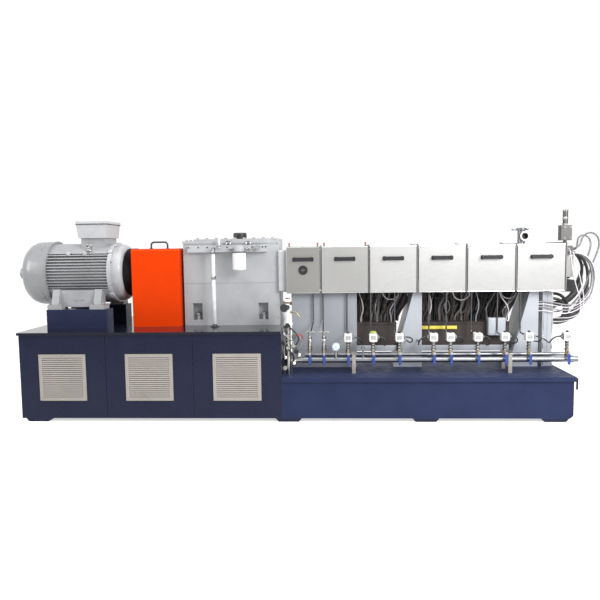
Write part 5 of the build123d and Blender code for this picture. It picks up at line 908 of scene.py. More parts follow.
class EXTRUDER_OT_drive_trim(bpy.types.Operator):
    """Guard, gearbox, lubrication block, filter and drain pipe: bolts, seams, fittings and collars."""
    bl_idname = "extruder.drive_trim"
    bl_label = "Guard and gearbox trim"

    def execute(self, context):
        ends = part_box("guard_handle")
        washers = in_row(nut(0.015, 0.006), (ends[0][0] + 0.007, ends[1][0] - 0.007), 0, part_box("coupling_guard")[1][2])
        add_piece("handle_washers", washers, "black_plastic")

        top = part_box("gearbox_lid")[1][2]
        places = [(x, y, top) for x in LID_BOLT_XS for y in LID_BOLT_YS]
        places += [(x, y, top - STEP_DOWN) for x in STEP_BOLT_XS for y in STEP_BOLT_YS]
        add_piece("lid_bolts", at(hex_bolt(context.scene.extruder_fasteners.large, 0.011), *places), "zinc")
        seams = [block((SEAM_X0, y0, SEAM_Z0), (SEAM_X1, y1, SEAM_Z1), 0.0005, 0.0003) for y0, y1 in SEAM_YS]
        add_piece("gearbox_seam", joined(*seams), "dark_steel")
        pockets = [(x, y, 0.782) for x in (-0.785, -0.242) for y in (-0.130, 0.200)]
        add_piece("pocket_nuts", at(nut(0.021, 0.018), *pockets), "zinc")
        edge = [(-0.121, -0.1602, z) for z in np.linspace(0.76, 1.36, 7)]
        add_piece("flange_screws", heads(cap_screw(0.006, 0.004), FRONT, edge), "zinc")

        self.block_trim()
        self.filter_and_drain()
        return {"FINISHED"}

    def block_trim(self):
        """Screws, plugs, knob, small lines and breather stub of the lubrication block."""
        screw = aimed(cap_screw(0.0065, 0.004), FRONT)
        add_piece("block_screws", in_row(screw, BLOCK_SCREW_XS, BLOCK_FRONT, 1.334), "dark_steel")
        plug = joined(nut(0.012, 0.010), raised(turned([(0.008, 0), (0.0085, 0.010), (0.006, 0.014)], 20), 0.009))
        add_piece("block_plugs", joined(in_row(aimed(plug, FRONT), FRONT_PLUG_XS, BLOCK_FRONT, 1.318),
                                        in_row(plug, TOP_PLUG_XS, LINE_Y, 1.350)), "zinc")
        knob = turned([(0.010, 0), (0.010, 0.014), (0.019, 0.018), (0.021, 0.034), (0.018, 0.040)], 28)
        add_piece("block_knob", heads(knob, FRONT, [(-0.273, BLOCK_FRONT, 1.332)]), "alloy")
        loops = [bent([(x0, LINE_Y, 1.362), (x0, LINE_Y, z), (x1, LINE_Y, z), (x1, LINE_Y, 1.362)], 0.004)
                 for x0, x1, z in ((-0.534, -0.500, 1.384), (-0.372, -0.336, 1.378))]
        spurs = [bent([(x0, -0.214, 1.318), (x0, y, 1.318), (x1, y - 0.008, 1.322)], 0.0045)
                 for x0, x1, y in ((-0.494, -0.452, -0.238), (-0.345, -0.384, -0.240))]
        add_piece("block_lines", joined(*loops, *spurs), "pipe")
        stub = turned([(0.008, 0), (0.008, 0.074), (0.006, 0.080)], 20)
        add_piece("vent_stub", at(stub, (STUB_X, STUB_Y, 1.329)), "white_plastic")
        add_piece("stub_clip", at(nut(0.012, 0.012), (STUB_X, STUB_Y, 1.338)), "zinc")

    def filter_and_drain(self):
        """Collar and beads of the oil filter; sleeves, unions and foot of the drain pipe."""
        low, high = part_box("oil_filter")
        middle = ((low[0] + high[0]) / 2, (low[1] + high[1]) / 2)
        collar = turned([(0.052, 0), (0.0555, 0.002), (0.0555, 0.010), (0.050, 0.013)], 48)
        add_piece("filter_collar", joined(at(collar, (*middle, high[2] - 0.004)),
                                          at(nut(0.034, 0.012), (*middle, high[2] + 0.008))), "dark_steel")
        add_piece("filter_beads", joined(at(ring(0.0538, 0.0012, 48, 8), (*middle, high[2] - 0.014)),
                                         at(ring(0.0538, 0.0010, 48, 8), (*middle, low[2] + 0.012))), "white_paint")
        sleeves = [turned([(0.0115, z0), (0.0145, z0 + 0.004), (0.0145, z1 - 0.004), (0.0115, z1)], 28)
                   for z0, z1 in ((0.714, 1.078), (1.104, 1.280))]
        add_piece("drain_sleeves", at(joined(*sleeves), (*DRAIN, 0)), "white_plastic")
        unions = joined(at(nut(0.021, 0.026), (*DRAIN, 1.078)), at(nut(0.020, 0.022), (*DRAIN, 1.282)))
        add_piece("drain_unions", unions, "zinc")
        foot = turned([(0.036, 0), (0.036, 0.004), (0.021, 0.006), (0.019, 0.018), (0.0145, 0.022)], 32)
        add_piece("drain_foot", at(foot, (*DRAIN, PLATE_Z)), "rubber")


# Covers: places of the red-tipped pins on two of them, the first one's knob, and the strips along the top
PIN_XS = {1: (-0.022, 0.206), 2: (0.258, 0.588)}
PIN_Y = -0.196
GRIP_Z, GRIP_REACH = 1.228, 0.070
KNOB_Z = 1.142
STRIP_XS = ((0.950, 0.998), (1.302, 1.383), (1.652, 1.767))


class EXTRUDER_OT_cover_trim(bpy.types.Operator):
    """Barrel covers: edge beads, corner screws, grip pads, red-tipped pins, the first cover's knob, and top strips."""
    bl_idname = "extruder.cover_trim"
    bl_label = "Cover trim"

    def execute(self, context):
        screw = cap_screw(context.scene.extruder_fasteners.small * 0.62, 0.0025)
        pad = aimed(slab(0.030, 0.036, 0.004, 0.010, 0.0015), FRONT)
        post = turned([(0.0075, 0), (0.0075, 0.004), (0.0048, 0.006), (0.0048, 0.020)], 20)
        tip = turned([(0.0052, 0.018), (0.0062, 0.020), (0.0062, 0.028), (0.004, 0.031)], 20)
        for number in range(1, COVER_COUNT + 1):
            body = f"cover_{number}"
            low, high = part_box(body)
            left, right, bottom, top = low[0] + 0.002, high[0] - 0.002, low[2] + 0.0025, high[2] - 0.012
            beads = [tube([(x, COVER_FRONT, bottom), (x, COVER_FRONT, top)], 0.0022, 8) for x in (left, right)]
            beads.append(tube([(left, COVER_FRONT, bottom), (right, COVER_FRONT, bottom)], 0.0024, 8))
            add_piece(f"cover_beads_{number}", joined(*beads), "bright_edge", body)
            places = [(x, COVER_FRONT - 0.0002, z) for x, z in corners((low[0], low[2]), (high[0], high[2]), 0.017)]
            add_piece(f"cover_screws_{number}", heads(screw, FRONT, places), "zinc", body)
            middle = (low[0] + high[0]) / 2
            pads = in_row(pad, (middle - GRIP_REACH, middle + GRIP_REACH), COVER_FRONT, GRIP_Z)
            add_piece(f"grip_pads_{number}", pads, "black_plastic", body)
            if number in PIN_XS:
                pin_z = high[2] - 0.0005
                add_piece(f"cover_pins_{number}", in_row(post, PIN_XS[number], PIN_Y, pin_z), "dark_steel", body)
                add_piece(f"pin_tips_{number}", in_row(tip, PIN_XS[number], PIN_Y, pin_z), "red", body)
        low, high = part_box("cover_1")
        knob_x = (low[0] + high[0]) / 2
        rim = joined(aimed(ring(0.0345, 0.0028, 44, 10), FRONT), aimed(ring(0.021, 0.0018, 36, 8), FRONT))
        add_piece("knob_rings", at(rim, (knob_x, -0.2300, KNOB_Z)), "rubber", "cover_1")
        bars = [block((knob_x - half, face, KNOB_Z - rise), (knob_x + half, -0.2295, KNOB_Z + rise), 0.003, 0.001)
                for half, face, rise in ((0.018, -0.2345, 0.0035), (0.004, -0.2365, 0.012))]
        add_piece("knob_bar", joined(*bars), "grey_plastic", "cover_1")
        arch_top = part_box("cover_arches")[1][2]
        strips = [block((x0, -0.212, arch_top - 0.006), (x1, -0.150, arch_top + 0.002), 0.003, 0.001)
                  for x0, x1 in STRIP_XS]
        add_piece("top_strips", joined(*strips), "alloy")
        return {"FINISHED"}


# Valves: the station with the green cap, height of the coils' plates and plugs, and what each plug spans from its coil
GREEN_CAP_X = 0.634
COIL_Z = 0.621
PLUG_NEAR, PLUG_FAR = 0.0295, 0.041


class EXTRUDER_OT_valve_trim(bpy.types.Operator):
    """Valve stations: lever sleeves and nuts, collars, unions, coil nuts and plates, plugs, and the hand valves."""
    bl_idname = "extruder.valve_trim"
    bl_label = "Valve trim"

    def execute(self, context):
        y = SUPPLY_Y
        every = MANUAL_XS + STATION_XS
        low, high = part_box("valve_levers")
        sleeve = aimed(slab(0.0225, 0.080, 0.0075, 0.010, 0.0028), FRONT)
        add_piece("lever_sleeves", in_row(sleeve, every, low[1] + 0.0052, low[2] + 0.041), "lever_blue")
        bolt = aimed(hex_bolt(0.0078, 0.008), FRONT)
        add_piece("lever_nuts", in_row(bolt, every, low[1] + 0.0003, high[2] - 0.012), "zinc")
        collars = joined(in_row(nut(0.0185, 0.013), every, y, 0.470), in_row(nut(0.0185, 0.014), every, y, 0.518))
        add_piece("valve_collars", collars, "nickel")
        union = joined(raised(nut(0.0165, 0.013), 0.538), turned([(0.012, 0.551), (0.0135, 0.554), (0.012, 0.560)], 24),
                       raised(nut(0.0150, 0.011), 0.562), raised(nut(0.0190, 0.010), 0.578))
        add_piece("station_unions", in_row(union, STATION_XS, y), "nickel")
        seals = joined(raised(ring(0.0125, 0.0022, 24, 8), 0.556), raised(ring(0.0135, 0.0020, 24, 8), 0.5755))
        add_piece("union_seals", in_row(seals, STATION_XS, y), "rubber")
        self.coil_trim(y)

        grip = bent([(-0.036, 0, -0.004), (-0.030, 0, 0.0), (0.030, 0, 0.0), (0.036, 0, -0.004)], 0.0052)
        add_piece("manual_handles", in_row(grip, MANUAL_XS, y, 0.664), "nickel")
        body = joined(raised(nut(0.0175, 0.020), 0.532),
                      turned([(0.0145, 0.552), (0.0165, 0.556), (0.0165, 0.606), (0.0120, 0.612)], 28),
                      raised(nut(0.0155, 0.016), 0.614),
                      turned([(0.009, 0.630), (0.009, 0.652), (0.013, 0.654), (0.013, 0.664), (0.009, 0.667)], 20))
        add_piece("manual_bodies", in_row(body, MANUAL_XS, y), "nickel")
        return {"FINISHED"}

    def coil_trim(self, y):
        """Nuts, plates, green cap and plugs of the solenoid coils."""
        low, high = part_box("solenoid_valves")
        coil = joined(nut(0.012, 0.008), turned([(0.007, 0.008), (0.0055, 0.014)], 20))
        bare = [x for x in STATION_XS if x != GREEN_CAP_X]
        add_piece("coil_nuts", in_row(coil, bare, y, high[2] - 0.0005), "black_plastic")
        add_piece("green_cap", at(slab(0.046, 0.040, 0.016, 0.008, 0.004), (GREEN_CAP_X, y, high[2] - 0.001)), "green")
        plate = aimed(slab(0.040, 0.030, 0.002, 0.004, 0.0008), FRONT)
        add_piece("coil_plates", in_row(plate, STATION_XS, low[1] + 0.0004, COIL_Z), "alloy")
        plugs, screws = [], []
        for x, side in zip(STATION_XS, GLAND_SIDES):
            left, right = sorted((x + side * PLUG_NEAR, x + side * PLUG_FAR))
            plugs.append(block((left, y - 0.016, 0.604), (right, y + 0.016, 0.640), 0.004, 0.002))
            screws.append(at(aimed(cap_screw(0.003, 0.002), FRONT), (x + side * 0.035, y - 0.0158, 0.632)))
            plugs.append(at(aimed(nut(0.0135, 0.007), (side, 0, 0)), (x + side * 0.0405, y, COIL_Z)))
        add_piece("plug_connectors", joined(*plugs), "grey_plastic")
        add_piece("plug_screws", joined(*screws), "zinc")


# Pipes: where the lines carry welds, joints and clamps; the gauge's middle and face, and its tick marks
WELD_XS = (0.345, 0.555)
JOINT_XS, RETURN_JOINT_XS = (0.385, 0.760, 1.165, 1.545, 1.960), (0.300, 0.700, 1.160, 1.590, 1.960)
RETURN_Y, RETURN_Z = -0.250, 0.460
CLAMP_XS, CLAMP_RADIUS, CLAMP_DROP = (0.483, 1.676), 0.0245, 0.034
GAUGE_X, GAUGE_FACE, GAUGE_Z = 0.345, -0.395, 0.551
TICKS, TICK_REACH, LONG_TICK, SHORT_TICK = 19, 0.0258, 0.0055, 0.0032


class EXTRUDER_OT_pipe_trim(bpy.types.Operator):
    """Water lines: weld rings and clamps, and the gauge's bezel, dial, marks, hub and union."""
    bl_idname = "extruder.pipe_trim"
    bl_label = "Pipe and gauge trim"

    def execute(self, context):
        y, z, radius = SUPPLY_Y, SUPPLY_Z, SUPPLY_RADIUS
        welds = in_row(ring(0.0150, 0.0032, 28, 8), (*MANUAL_XS, *STATION_XS, *WELD_XS), y, z + radius - 0.001)
        joints = in_row(aimed(ring(radius + 0.0002, 0.0016, 36, 8), RIGHT), JOINT_XS, y, z)
        back = in_row(aimed(ring(0.0152, 0.0014, 32, 8), RIGHT), RETURN_JOINT_XS, RETURN_Y, RETURN_Z)
        add_piece("weld_rings", joined(welds, joints, back), "pipe")
        loops = []
        for x in CLAMP_XS:
            ends = [[(x, y + side * CLAMP_RADIUS, z - CLAMP_DROP)] for side in (-1, 1)]
            loops.append(tube(np.concatenate([ends[0], arc((x, y, z), 180, 0, CLAMP_RADIUS), ends[1]]), 0.0035, 8))
        add_piece("pipe_clamps", joined(*loops), "zinc")

        bezel = joined(aimed(ring(0.0312, 0.0030, 56, 12), FRONT), aimed(ring(0.0272, 0.0010, 48, 8), FRONT))
        add_piece("gauge_bezel", at(bezel, (GAUGE_X, GAUGE_FACE, GAUGE_Z)), "nickel")
        dial = aimed(turned([(0.0288, 0), (0.0288, 0.0012), (0.0280, 0.0016)], 48), FRONT)
        add_piece("gauge_dial", at(dial, (GAUGE_X, GAUGE_FACE, GAUGE_Z)), "dial")
        marks = []
        for number, turn in enumerate(np.radians(np.linspace(-45, 225, TICKS))):
            inner = TICK_REACH - (SHORT_TICK if number % 3 else LONG_TICK)
            step = np.array([math.cos(turn), 0, math.sin(turn)])
            marks.append(tube([step * inner, step * TICK_REACH], 0.0005, 6))
        marks.append(tube([(0.004, 0, -0.003), (-0.015, 0, 0.0125)], (0.0011, 0.0004), 6))
        add_piece("gauge_marks", at(joined(*marks), (GAUGE_X, GAUGE_FACE - 0.0019, GAUGE_Z)), "black_plastic")
        hub = aimed(turned([(0.0028, 0), (0.0028, 0.0022), (0.0018, 0.003)], 20), FRONT)
        add_piece("gauge_hub", at(hub, (GAUGE_X, GAUGE_FACE - 0.0012, GAUGE_Z)), "dark_steel")
        union = joined(nut(0.0135, 0.014), raised(nut(0.011, 0.010), 0.020))
        add_piece("gauge_union", at(union, (GAUGE_X, y, 0.478)), "nickel")
        return {"FINISHED"}


# Inlet: middle of the riser and of the elbow's mouth, and the small lines with their radius and finish
RISER = (-0.028, -0.380)
MOUTH_X, MOUTH_Z = -0.053, 0.859
INLET_LINES = (
    ("black", 0.0085, ((-0.030, -0.372, 0.716), (-0.078, -0.388, 0.700), (-0.086, -0.392, 0.622),
                       (-0.050, -0.398, 0.560), (-0.040, -0.398, 0.500))),
    ("black", 0.0060, ((-0.012, -0.392, 0.700), (0.026, -0.402, 0.672), (0.062, -0.404, 0.620),
                       (0.040, -0.404, 0.572), (0.010, -0.398, 0.556))),
    ("steel", 0.0050, ((-0.066, -0.398, 0.742), (-0.068, -0.402, 0.662), (-0.030, -0.408, 0.620),
                       (0.014, -0.410, 0.598), (0.016, -0.404, 0.548))),
    ("steel", 0.0042, ((0.052, -0.388, 0.640), (0.084, -0.392, 0.606), (0.074, -0.396, 0.556),
                       (0.040, -0.400, 0.520), (0.052, -0.402, 0.470))),
    ("steel", 0.0050, ((-0.020, -0.404, 0.596), (-0.058, -0.410, 0.566), (-0.062, -0.410, 0.502),
                       (-0.044, -0.406, 0.452))),
    ("red", 0.0036, ((0.000, -0.398, 0.640), (0.036, -0.410, 0.640), (0.078, -0.408, 0.652), (0.092, -0.400, 0.610))),
    ("black", 0.0062, ((-0.040, -0.402, 0.540), (-0.010, -0.416, 0.520), (0.020, -0.416, 0.486),
                       (0.012, -0.410, 0.436))),
)


class EXTRUDER_OT_inlet_trim(bpy.types.Operator):
    """Water inlet: handle, elbow, riser cap, bent lines, caps, fittings, knobs and clips."""
    bl_idname = "extruder.inlet_trim"
    bl_label = "Inlet trim"

    def execute(self, context):
        handle = bent([(0.004, -0.400, 0.826), (0.022, -0.408, 0.828), (0.048, -0.410, 0.812), (0.064, -0.410, 0.786)],
                      0.0062)
        add_piece("inlet_handle", joined(handle, at(nut(0.012, 0.014), (0.000, -0.400, 0.818))), "brass")
        # The black disc across the elbow's mouth stands for the shade inside the opening: painted shade
        rim = joined(at(aimed(ring(0.027, 0.0052, 40, 10), FRONT), (MOUTH_X, -0.421, MOUTH_Z)),
                     at(aimed(turned([(0.024, 0), (0.024, 0.001)], 32), FRONT), (MOUTH_X, -0.4255, MOUTH_Z)))
        add_piece("elbow_mouth", rim, "rubber")
        elbow = [(MOUTH_X, -0.418, MOUTH_Z), (MOUTH_X, -0.384, MOUTH_Z), (-0.040, -0.380, 0.832),
                 (-0.030, -0.380, 0.780)]
        add_piece("elbow_body", bent(elbow, 0.032, 28), "white_plastic")
        cap = turned([(0.028, 0), (0.034, 0.006), (0.034, 0.030), (0.024, 0.040), (0.020, 0.056), (0.014, 0.060)], 32)
        add_piece("riser_cap", at(cap, (*RISER, 0.874)), "bronze")
        for tone, kind in (("black", "rubber"), ("steel", "nickel"), ("red", "red")):
            lines = [bent(path, radius) for which, radius, path in INLET_LINES if which == tone]
            add_piece(f"inlet_lines_{tone}", joined(*lines), kind)
        dome = turned([(0.021, 0), (0.021, 0.010), (0.018, 0.018), (0.010, 0.024)], 36)
        add_piece("inlet_caps", joined(heads(dome, FRONT, [(-0.052, -0.398, 0.468), (0.058, -0.396, 0.486)]),
                                       heads(dome, (0.3, -1, 0.2), [(0.014, -0.402, 0.420)])), "bright_edge")
        sockets = [at(nut(0.020, height), (*RISER, z))
                   for height, z in ((0.020, 0.676), (0.018, 0.596), (0.018, 0.520), (0.018, 0.420))]
        fittings = joined(heads(nut(0.017, 0.020), FRONT, [(-0.028, -0.392, 0.640), (0.016, -0.392, 0.560)]), *sockets,
                          at(aimed(nut(0.0165, 0.018), RIGHT), (0.062, SUPPLY_Y, SUPPLY_Z)))
        add_piece("inlet_fittings", fittings, "nickel")
        wheel = turned([(0.006, 0), (0.006, 0.012), (0.018, 0.013), (0.019, 0.020), (0.016, 0.023)], 16)
        add_piece("inlet_knobs", joined(heads(wheel, FRONT, [(-0.028, -0.400, 0.722), (0.036, -0.398, 0.520)]),
                                        heads(wheel, (0.6, -1, 0.3), [(0.010, -0.404, 0.628)])), "black_plastic")
        add_piece("inlet_clips", at(ring(0.0275, 0.0022, 36, 8), (*RISER, 0.740), (*RISER, 0.748)), "zinc")
        return {"FINISHED"}


# Trough: ends of its two lengths, front of their beams, and the box on the second
TROUGH_SPANS = ((0.5205, 0.8445), (1.0450, 1.7540))
BEAM_FRONT, BEAM_BACK = -0.1065, -0.0995
STRIP_RIGHT = 1.3350
# Banks of insulated tubes: left and right ends under the barrel, and the right end at the trough
TUBE_BANKS = ((0.536, 0.985, 0.864), (1.060, 1.892, 1.776))
# Rows of a bank from front to back: depth, pitch, sway, added radius and count of tones
TUBE_ROWS = (
    (0.022, 0.021, 0.044, 0.0, 3), (0.052, 0.021, 0.044, 0.0, 3),
    (0.082, 0.017, 0.012, 0.003, 1), (0.112, 0.017, 0.012, 0.003, 1),
)
TUBE_TONES = ("tube_brown", "tube_black", "tube_grey")
# Sleeves of the first two black cables: shares of the route where each starts and ends, and its radius
CABLE_WRAPS = ((0.42, 0.86, 0.030), (0.40, 0.86, 0.026))
VENT_X, VENT_Y, VENT_MOUTH_Z = 1.9751, 0.320, 1.398
SENSOR_X = 2.222


class EXTRUDER_OT_wiring_trim(bpy.types.Operator):
    """Trough beams, strip and box, heater plugs, tubes, cable sleeves, vent, sensor, glands, end box and duct."""
    bl_idname = "extruder.wiring_trim"
    bl_label = "Wiring and vent trim"

    def execute(self, context):
        self.trough_trim()
        self.tubes()
        self.cable_wraps()
        self.vent_trim()
        self.sensor_trim()
        self.end_trim(context.scene.extruder_fasteners.small)
        return {"FINISHED"}

    def trough_trim(self):
        """Beams and strip of the trough, its box, and the plugs under the heaters."""
        beams = [block((x0, BEAM_FRONT, 0.4640), (x1, BEAM_BACK, 0.5120), 0.002, 0.0012) for x0, x1 in TROUGH_SPANS]
        add_piece("trough_beams", joined(*beams), "support_grey")
        add_piece("trough_strip", block((TROUGH_SPANS[1][0], -0.1125, 0.6440), (STRIP_RIGHT, BEAM_BACK, 0.6710),
                                        0.003, 0.002), "yellow")
        box = joined(block((1.5735, -0.1615, 0.5985), (1.7095, -0.1000, 0.7385), 0.004, 0.002),
                     block((1.5780, -0.1640, 0.6040), (1.7050, -0.1605, 0.7330), 0.003, 0.001))
        add_piece("trough_box_skin", box, "support_grey")
        screws = [(x, -0.1638, z) for x, z in corners((1.578, 0.604), (1.705, 0.733), 0.011)]
        add_piece("trough_box_screws", heads(cap_screw(0.0045, 0.003), FRONT, screws), "zinc")
        plug = joined(at(slab(0.058, 0.046, 0.052, 0.008, 0.004), (0, -0.040, 0.994)),
                      at(turned([(0.015, 0.974), (0.017, 0.978), (0.017, 0.996), (0.012, 0.998)], 24), (0, -0.040, 0)))
        lead_xs = sorted({lead[0] for lead in HEATER_LEADS} | {x for loop in HEATER_LOOPS for x in loop[:2]})
        add_piece("heater_plugs", in_row(plug, [x / 1000 for x in lead_xs], 0), "black_plastic")

    def tubes(self):
        """Rigid insulated tubes from the heaters to the trough, each swayed by chance at two heights."""
        random = np.random.default_rng(11)
        shapes = {tone: [] for tone in TUBE_TONES}
        for left, right, foot in TUBE_BANKS:
            for depth, pitch, swing, added, tones in TUBE_ROWS:
                count = int((right - left) / pitch)
                tops = np.linspace(left, right, count) + random.uniform(-0.006, 0.006, count)
                feet = left + (tops - left) * (foot - left) / (right - left)
                sway = random.uniform(-swing, swing, (count, 2))
                depths = depth + random.uniform(-0.008, 0.008, count)
                radii = random.uniform(0.0060, 0.0098, count) + added
                picks = random.integers(0, tones, count)
                for top, base, swings, y, radius, pick in zip(tops, feet, sway, depths, radii, picks):
                    third = (base - top) / 3
                    path = [(top, y, 1.050), (top, y, 0.990), (top + third + swings[0], y + 0.006, 0.905),
                            (top + 2 * third + swings[1], y - 0.004, 0.810), (base, y, 0.740), (base, y, 0.700)]
                    shapes[TUBE_TONES[pick]].append(bent(path, radius, 8))
        for tone in TUBE_TONES:
            add_piece(f"{tone}s", joined(*shapes[tone]), tone)

    def cable_wraps(self):
        """Sleeves along two black cables, drawn in towards both ends and slightly waved."""
        wraps = []
        for route, (first, last, radius) in zip(POWER_ROUTES, CABLE_WRAPS):
            line = smooth_line(metres(route))
            line = line[int(first * len(line)):int(last * len(line))]
            steps = np.arange(len(line))
            taper = np.minimum(1.0, 0.55 + 0.09 * np.minimum(steps, steps[::-1]))
            wraps.append(tube(line, radius * taper * (1 + 0.03 * np.cos(2.2 * steps)), 20))
        add_piece("cable_wraps", joined(*wraps), "rubber")

    def vent_trim(self):
        """Clamp, cap, rim and seal of the vent, and a black disc inside its mouth as painted shade."""
        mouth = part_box("vent_port")[0][1]
        flange = turned([(0.032, 0), (0.052, 0.003), (0.052, 0.010), (0.032, 0.013)], 40)
        wings = joined(at(flange, (VENT_X, VENT_Y, 1.4510)),
                       block((VENT_X - 0.078, VENT_Y - 0.012, 1.4520), (VENT_X + 0.060, VENT_Y + 0.012, 1.4650),
                             0.006, 0.003),
                       at(nut(0.011, 0.020), (VENT_X - 0.072, VENT_Y, 1.4480)))
        add_piece("vent_clamp", wings, "pipe")
        cap = turned([(0.044, 0), (0.044, 0.004), (0.020, 0.008)], 40)
        add_piece("vent_cap", at(cap, (VENT_X, VENT_Y, 1.4640)), "pipe")
        rim = joined(aimed(ring(0.036, 0.0050, 44, 12), FRONT), aimed(ring(0.0295, 0.0020, 40, 8), FRONT))
        add_piece("vent_rim", at(rim, (VENT_X, mouth + 0.001, VENT_MOUTH_Z)), "white_plastic")
        # A black disc set down inside the vent's mouth stands for the shade in the hole: painted shade
        shade_disc = aimed(turned([(0.0275, 0), (0.0275, 0.002)], 36), FRONT)
        add_piece("vent_shade_disc", at(shade_disc, (VENT_X, mouth + 0.052, VENT_MOUTH_Z)), "rubber")
        seal = aimed(ring(0.0335, 0.0024, 40, 8), FRONT)
        add_piece("vent_seal", at(seal, (VENT_X, mouth + 0.020, VENT_MOUTH_Z)), "red")

    def sensor_trim(self):
        """Collars and screws of the melt sensor, and the gland nut of every cord that leaves the barrel's end."""
        low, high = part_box("melt_sensor")
        collars = joined(raised(nut(0.026, 0.016), 1.4755),
                         raised(turned([(0.0205, 0), (0.0225, 0.003), (0.0225, 0.016), (0.0205, 0.019)], 32), 1.5240),
                         raised(turned([(0.0205, 0), (0.0228, 0.002), (0.0228, 0.010), (0.016, 0.014)], 32), 1.5880))
        add_piece("sensor_collars", at(collars, (SENSOR_X, (low[1] + high[1]) / 2, 0)), "nickel")
        faces = [(x, low[1] + 0.0003, z) for x in (2.199, 2.245) for z in (1.372, 1.458)]
        add_piece("sensor_screws", heads(cap_screw(0.0042, 0.003), FRONT, faces), "zinc")
        glands = []
        for routes, radius in ((SENSOR_CONDUIT_ROUTES, 0.0105), (POWER_ROUTES[:2], 0.0165),
                               (HEATER_CABLE_ROUTES, 0.0078)):
            boot = turned([(0.86 * radius, 0), (0.80 * radius, 0.010), (0.66 * radius, 0.016)], 20)
            gland = aimed(joined(nut(radius, 0.010), raised(boot, 0.009)), RIGHT)
            glands += [at(gland, (x - 0.001, y, z)) for x, y, z in (metres(route[:1])[0] for route in routes)]
        add_piece("cord_glands", joined(*glands), "nickel")

    def end_trim(self, small):
        """Screws of the end box and of the shield plates; edges and seam of the duct."""
        low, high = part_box("end_box")
        places = [(high[0] - 0.0004, y, z) for y, z in corners((low[1], low[2]), (high[1], high[2]), 0.013)]
        add_piece("end_box_screws", heads(cap_screw(0.0042, 0.003), RIGHT, places), "zinc")
        bolt = hex_bolt(small, 0.005)
        plates = [heads(bolt, (0, side, 0), [(x, side * 0.1132, z) for x in (2.168, 2.237) for z in (1.074, 1.214)])
                  for side in (-1, 1)]
        add_piece("plate_screws", joined(*plates), "zinc")
        low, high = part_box("cable_duct")
        edges = [block((x - 0.0035, low[1] - 0.0012, low[2] + 0.010), (x + 0.0035, low[1] + 0.0008, high[2] - 0.010),
                       0.001, 0.0006) for x in (low[0] + 0.008, high[0] - 0.008)]
        add_piece("duct_edges", joined(*edges), "bright_edge")
        seam = block((2.0435, low[1] - 0.0006, low[2] + 0.004), (2.0455, low[1] + 0.0004, high[2] - 0.004),
                     0.0005, 0.0003)
        add_piece("duct_seam", seam, "dark_steel")


class EXTRUDER_OT_finishes(bpy.types.Operator):
    """Finish of every solid that shows."""
    bl_idname = "extruder.finishes"
    bl_label = "Finishes"

    def execute(self, context):
        kinds = dict(NODE_FINISHES)
        for number in range(1, COVER_COUNT + 1):
            kinds[f"cover_{number}"] = COVER_STEELS.get(number, "steel_painted_reflection")
            kinds[f"cover_grip_{number}"] = "black_plastic"
        for name, kind in kinds.items():
            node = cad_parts[name]
            node.data.materials.clear()
            node.data.materials.append(finish(kind))
        return {"FINISHED"}


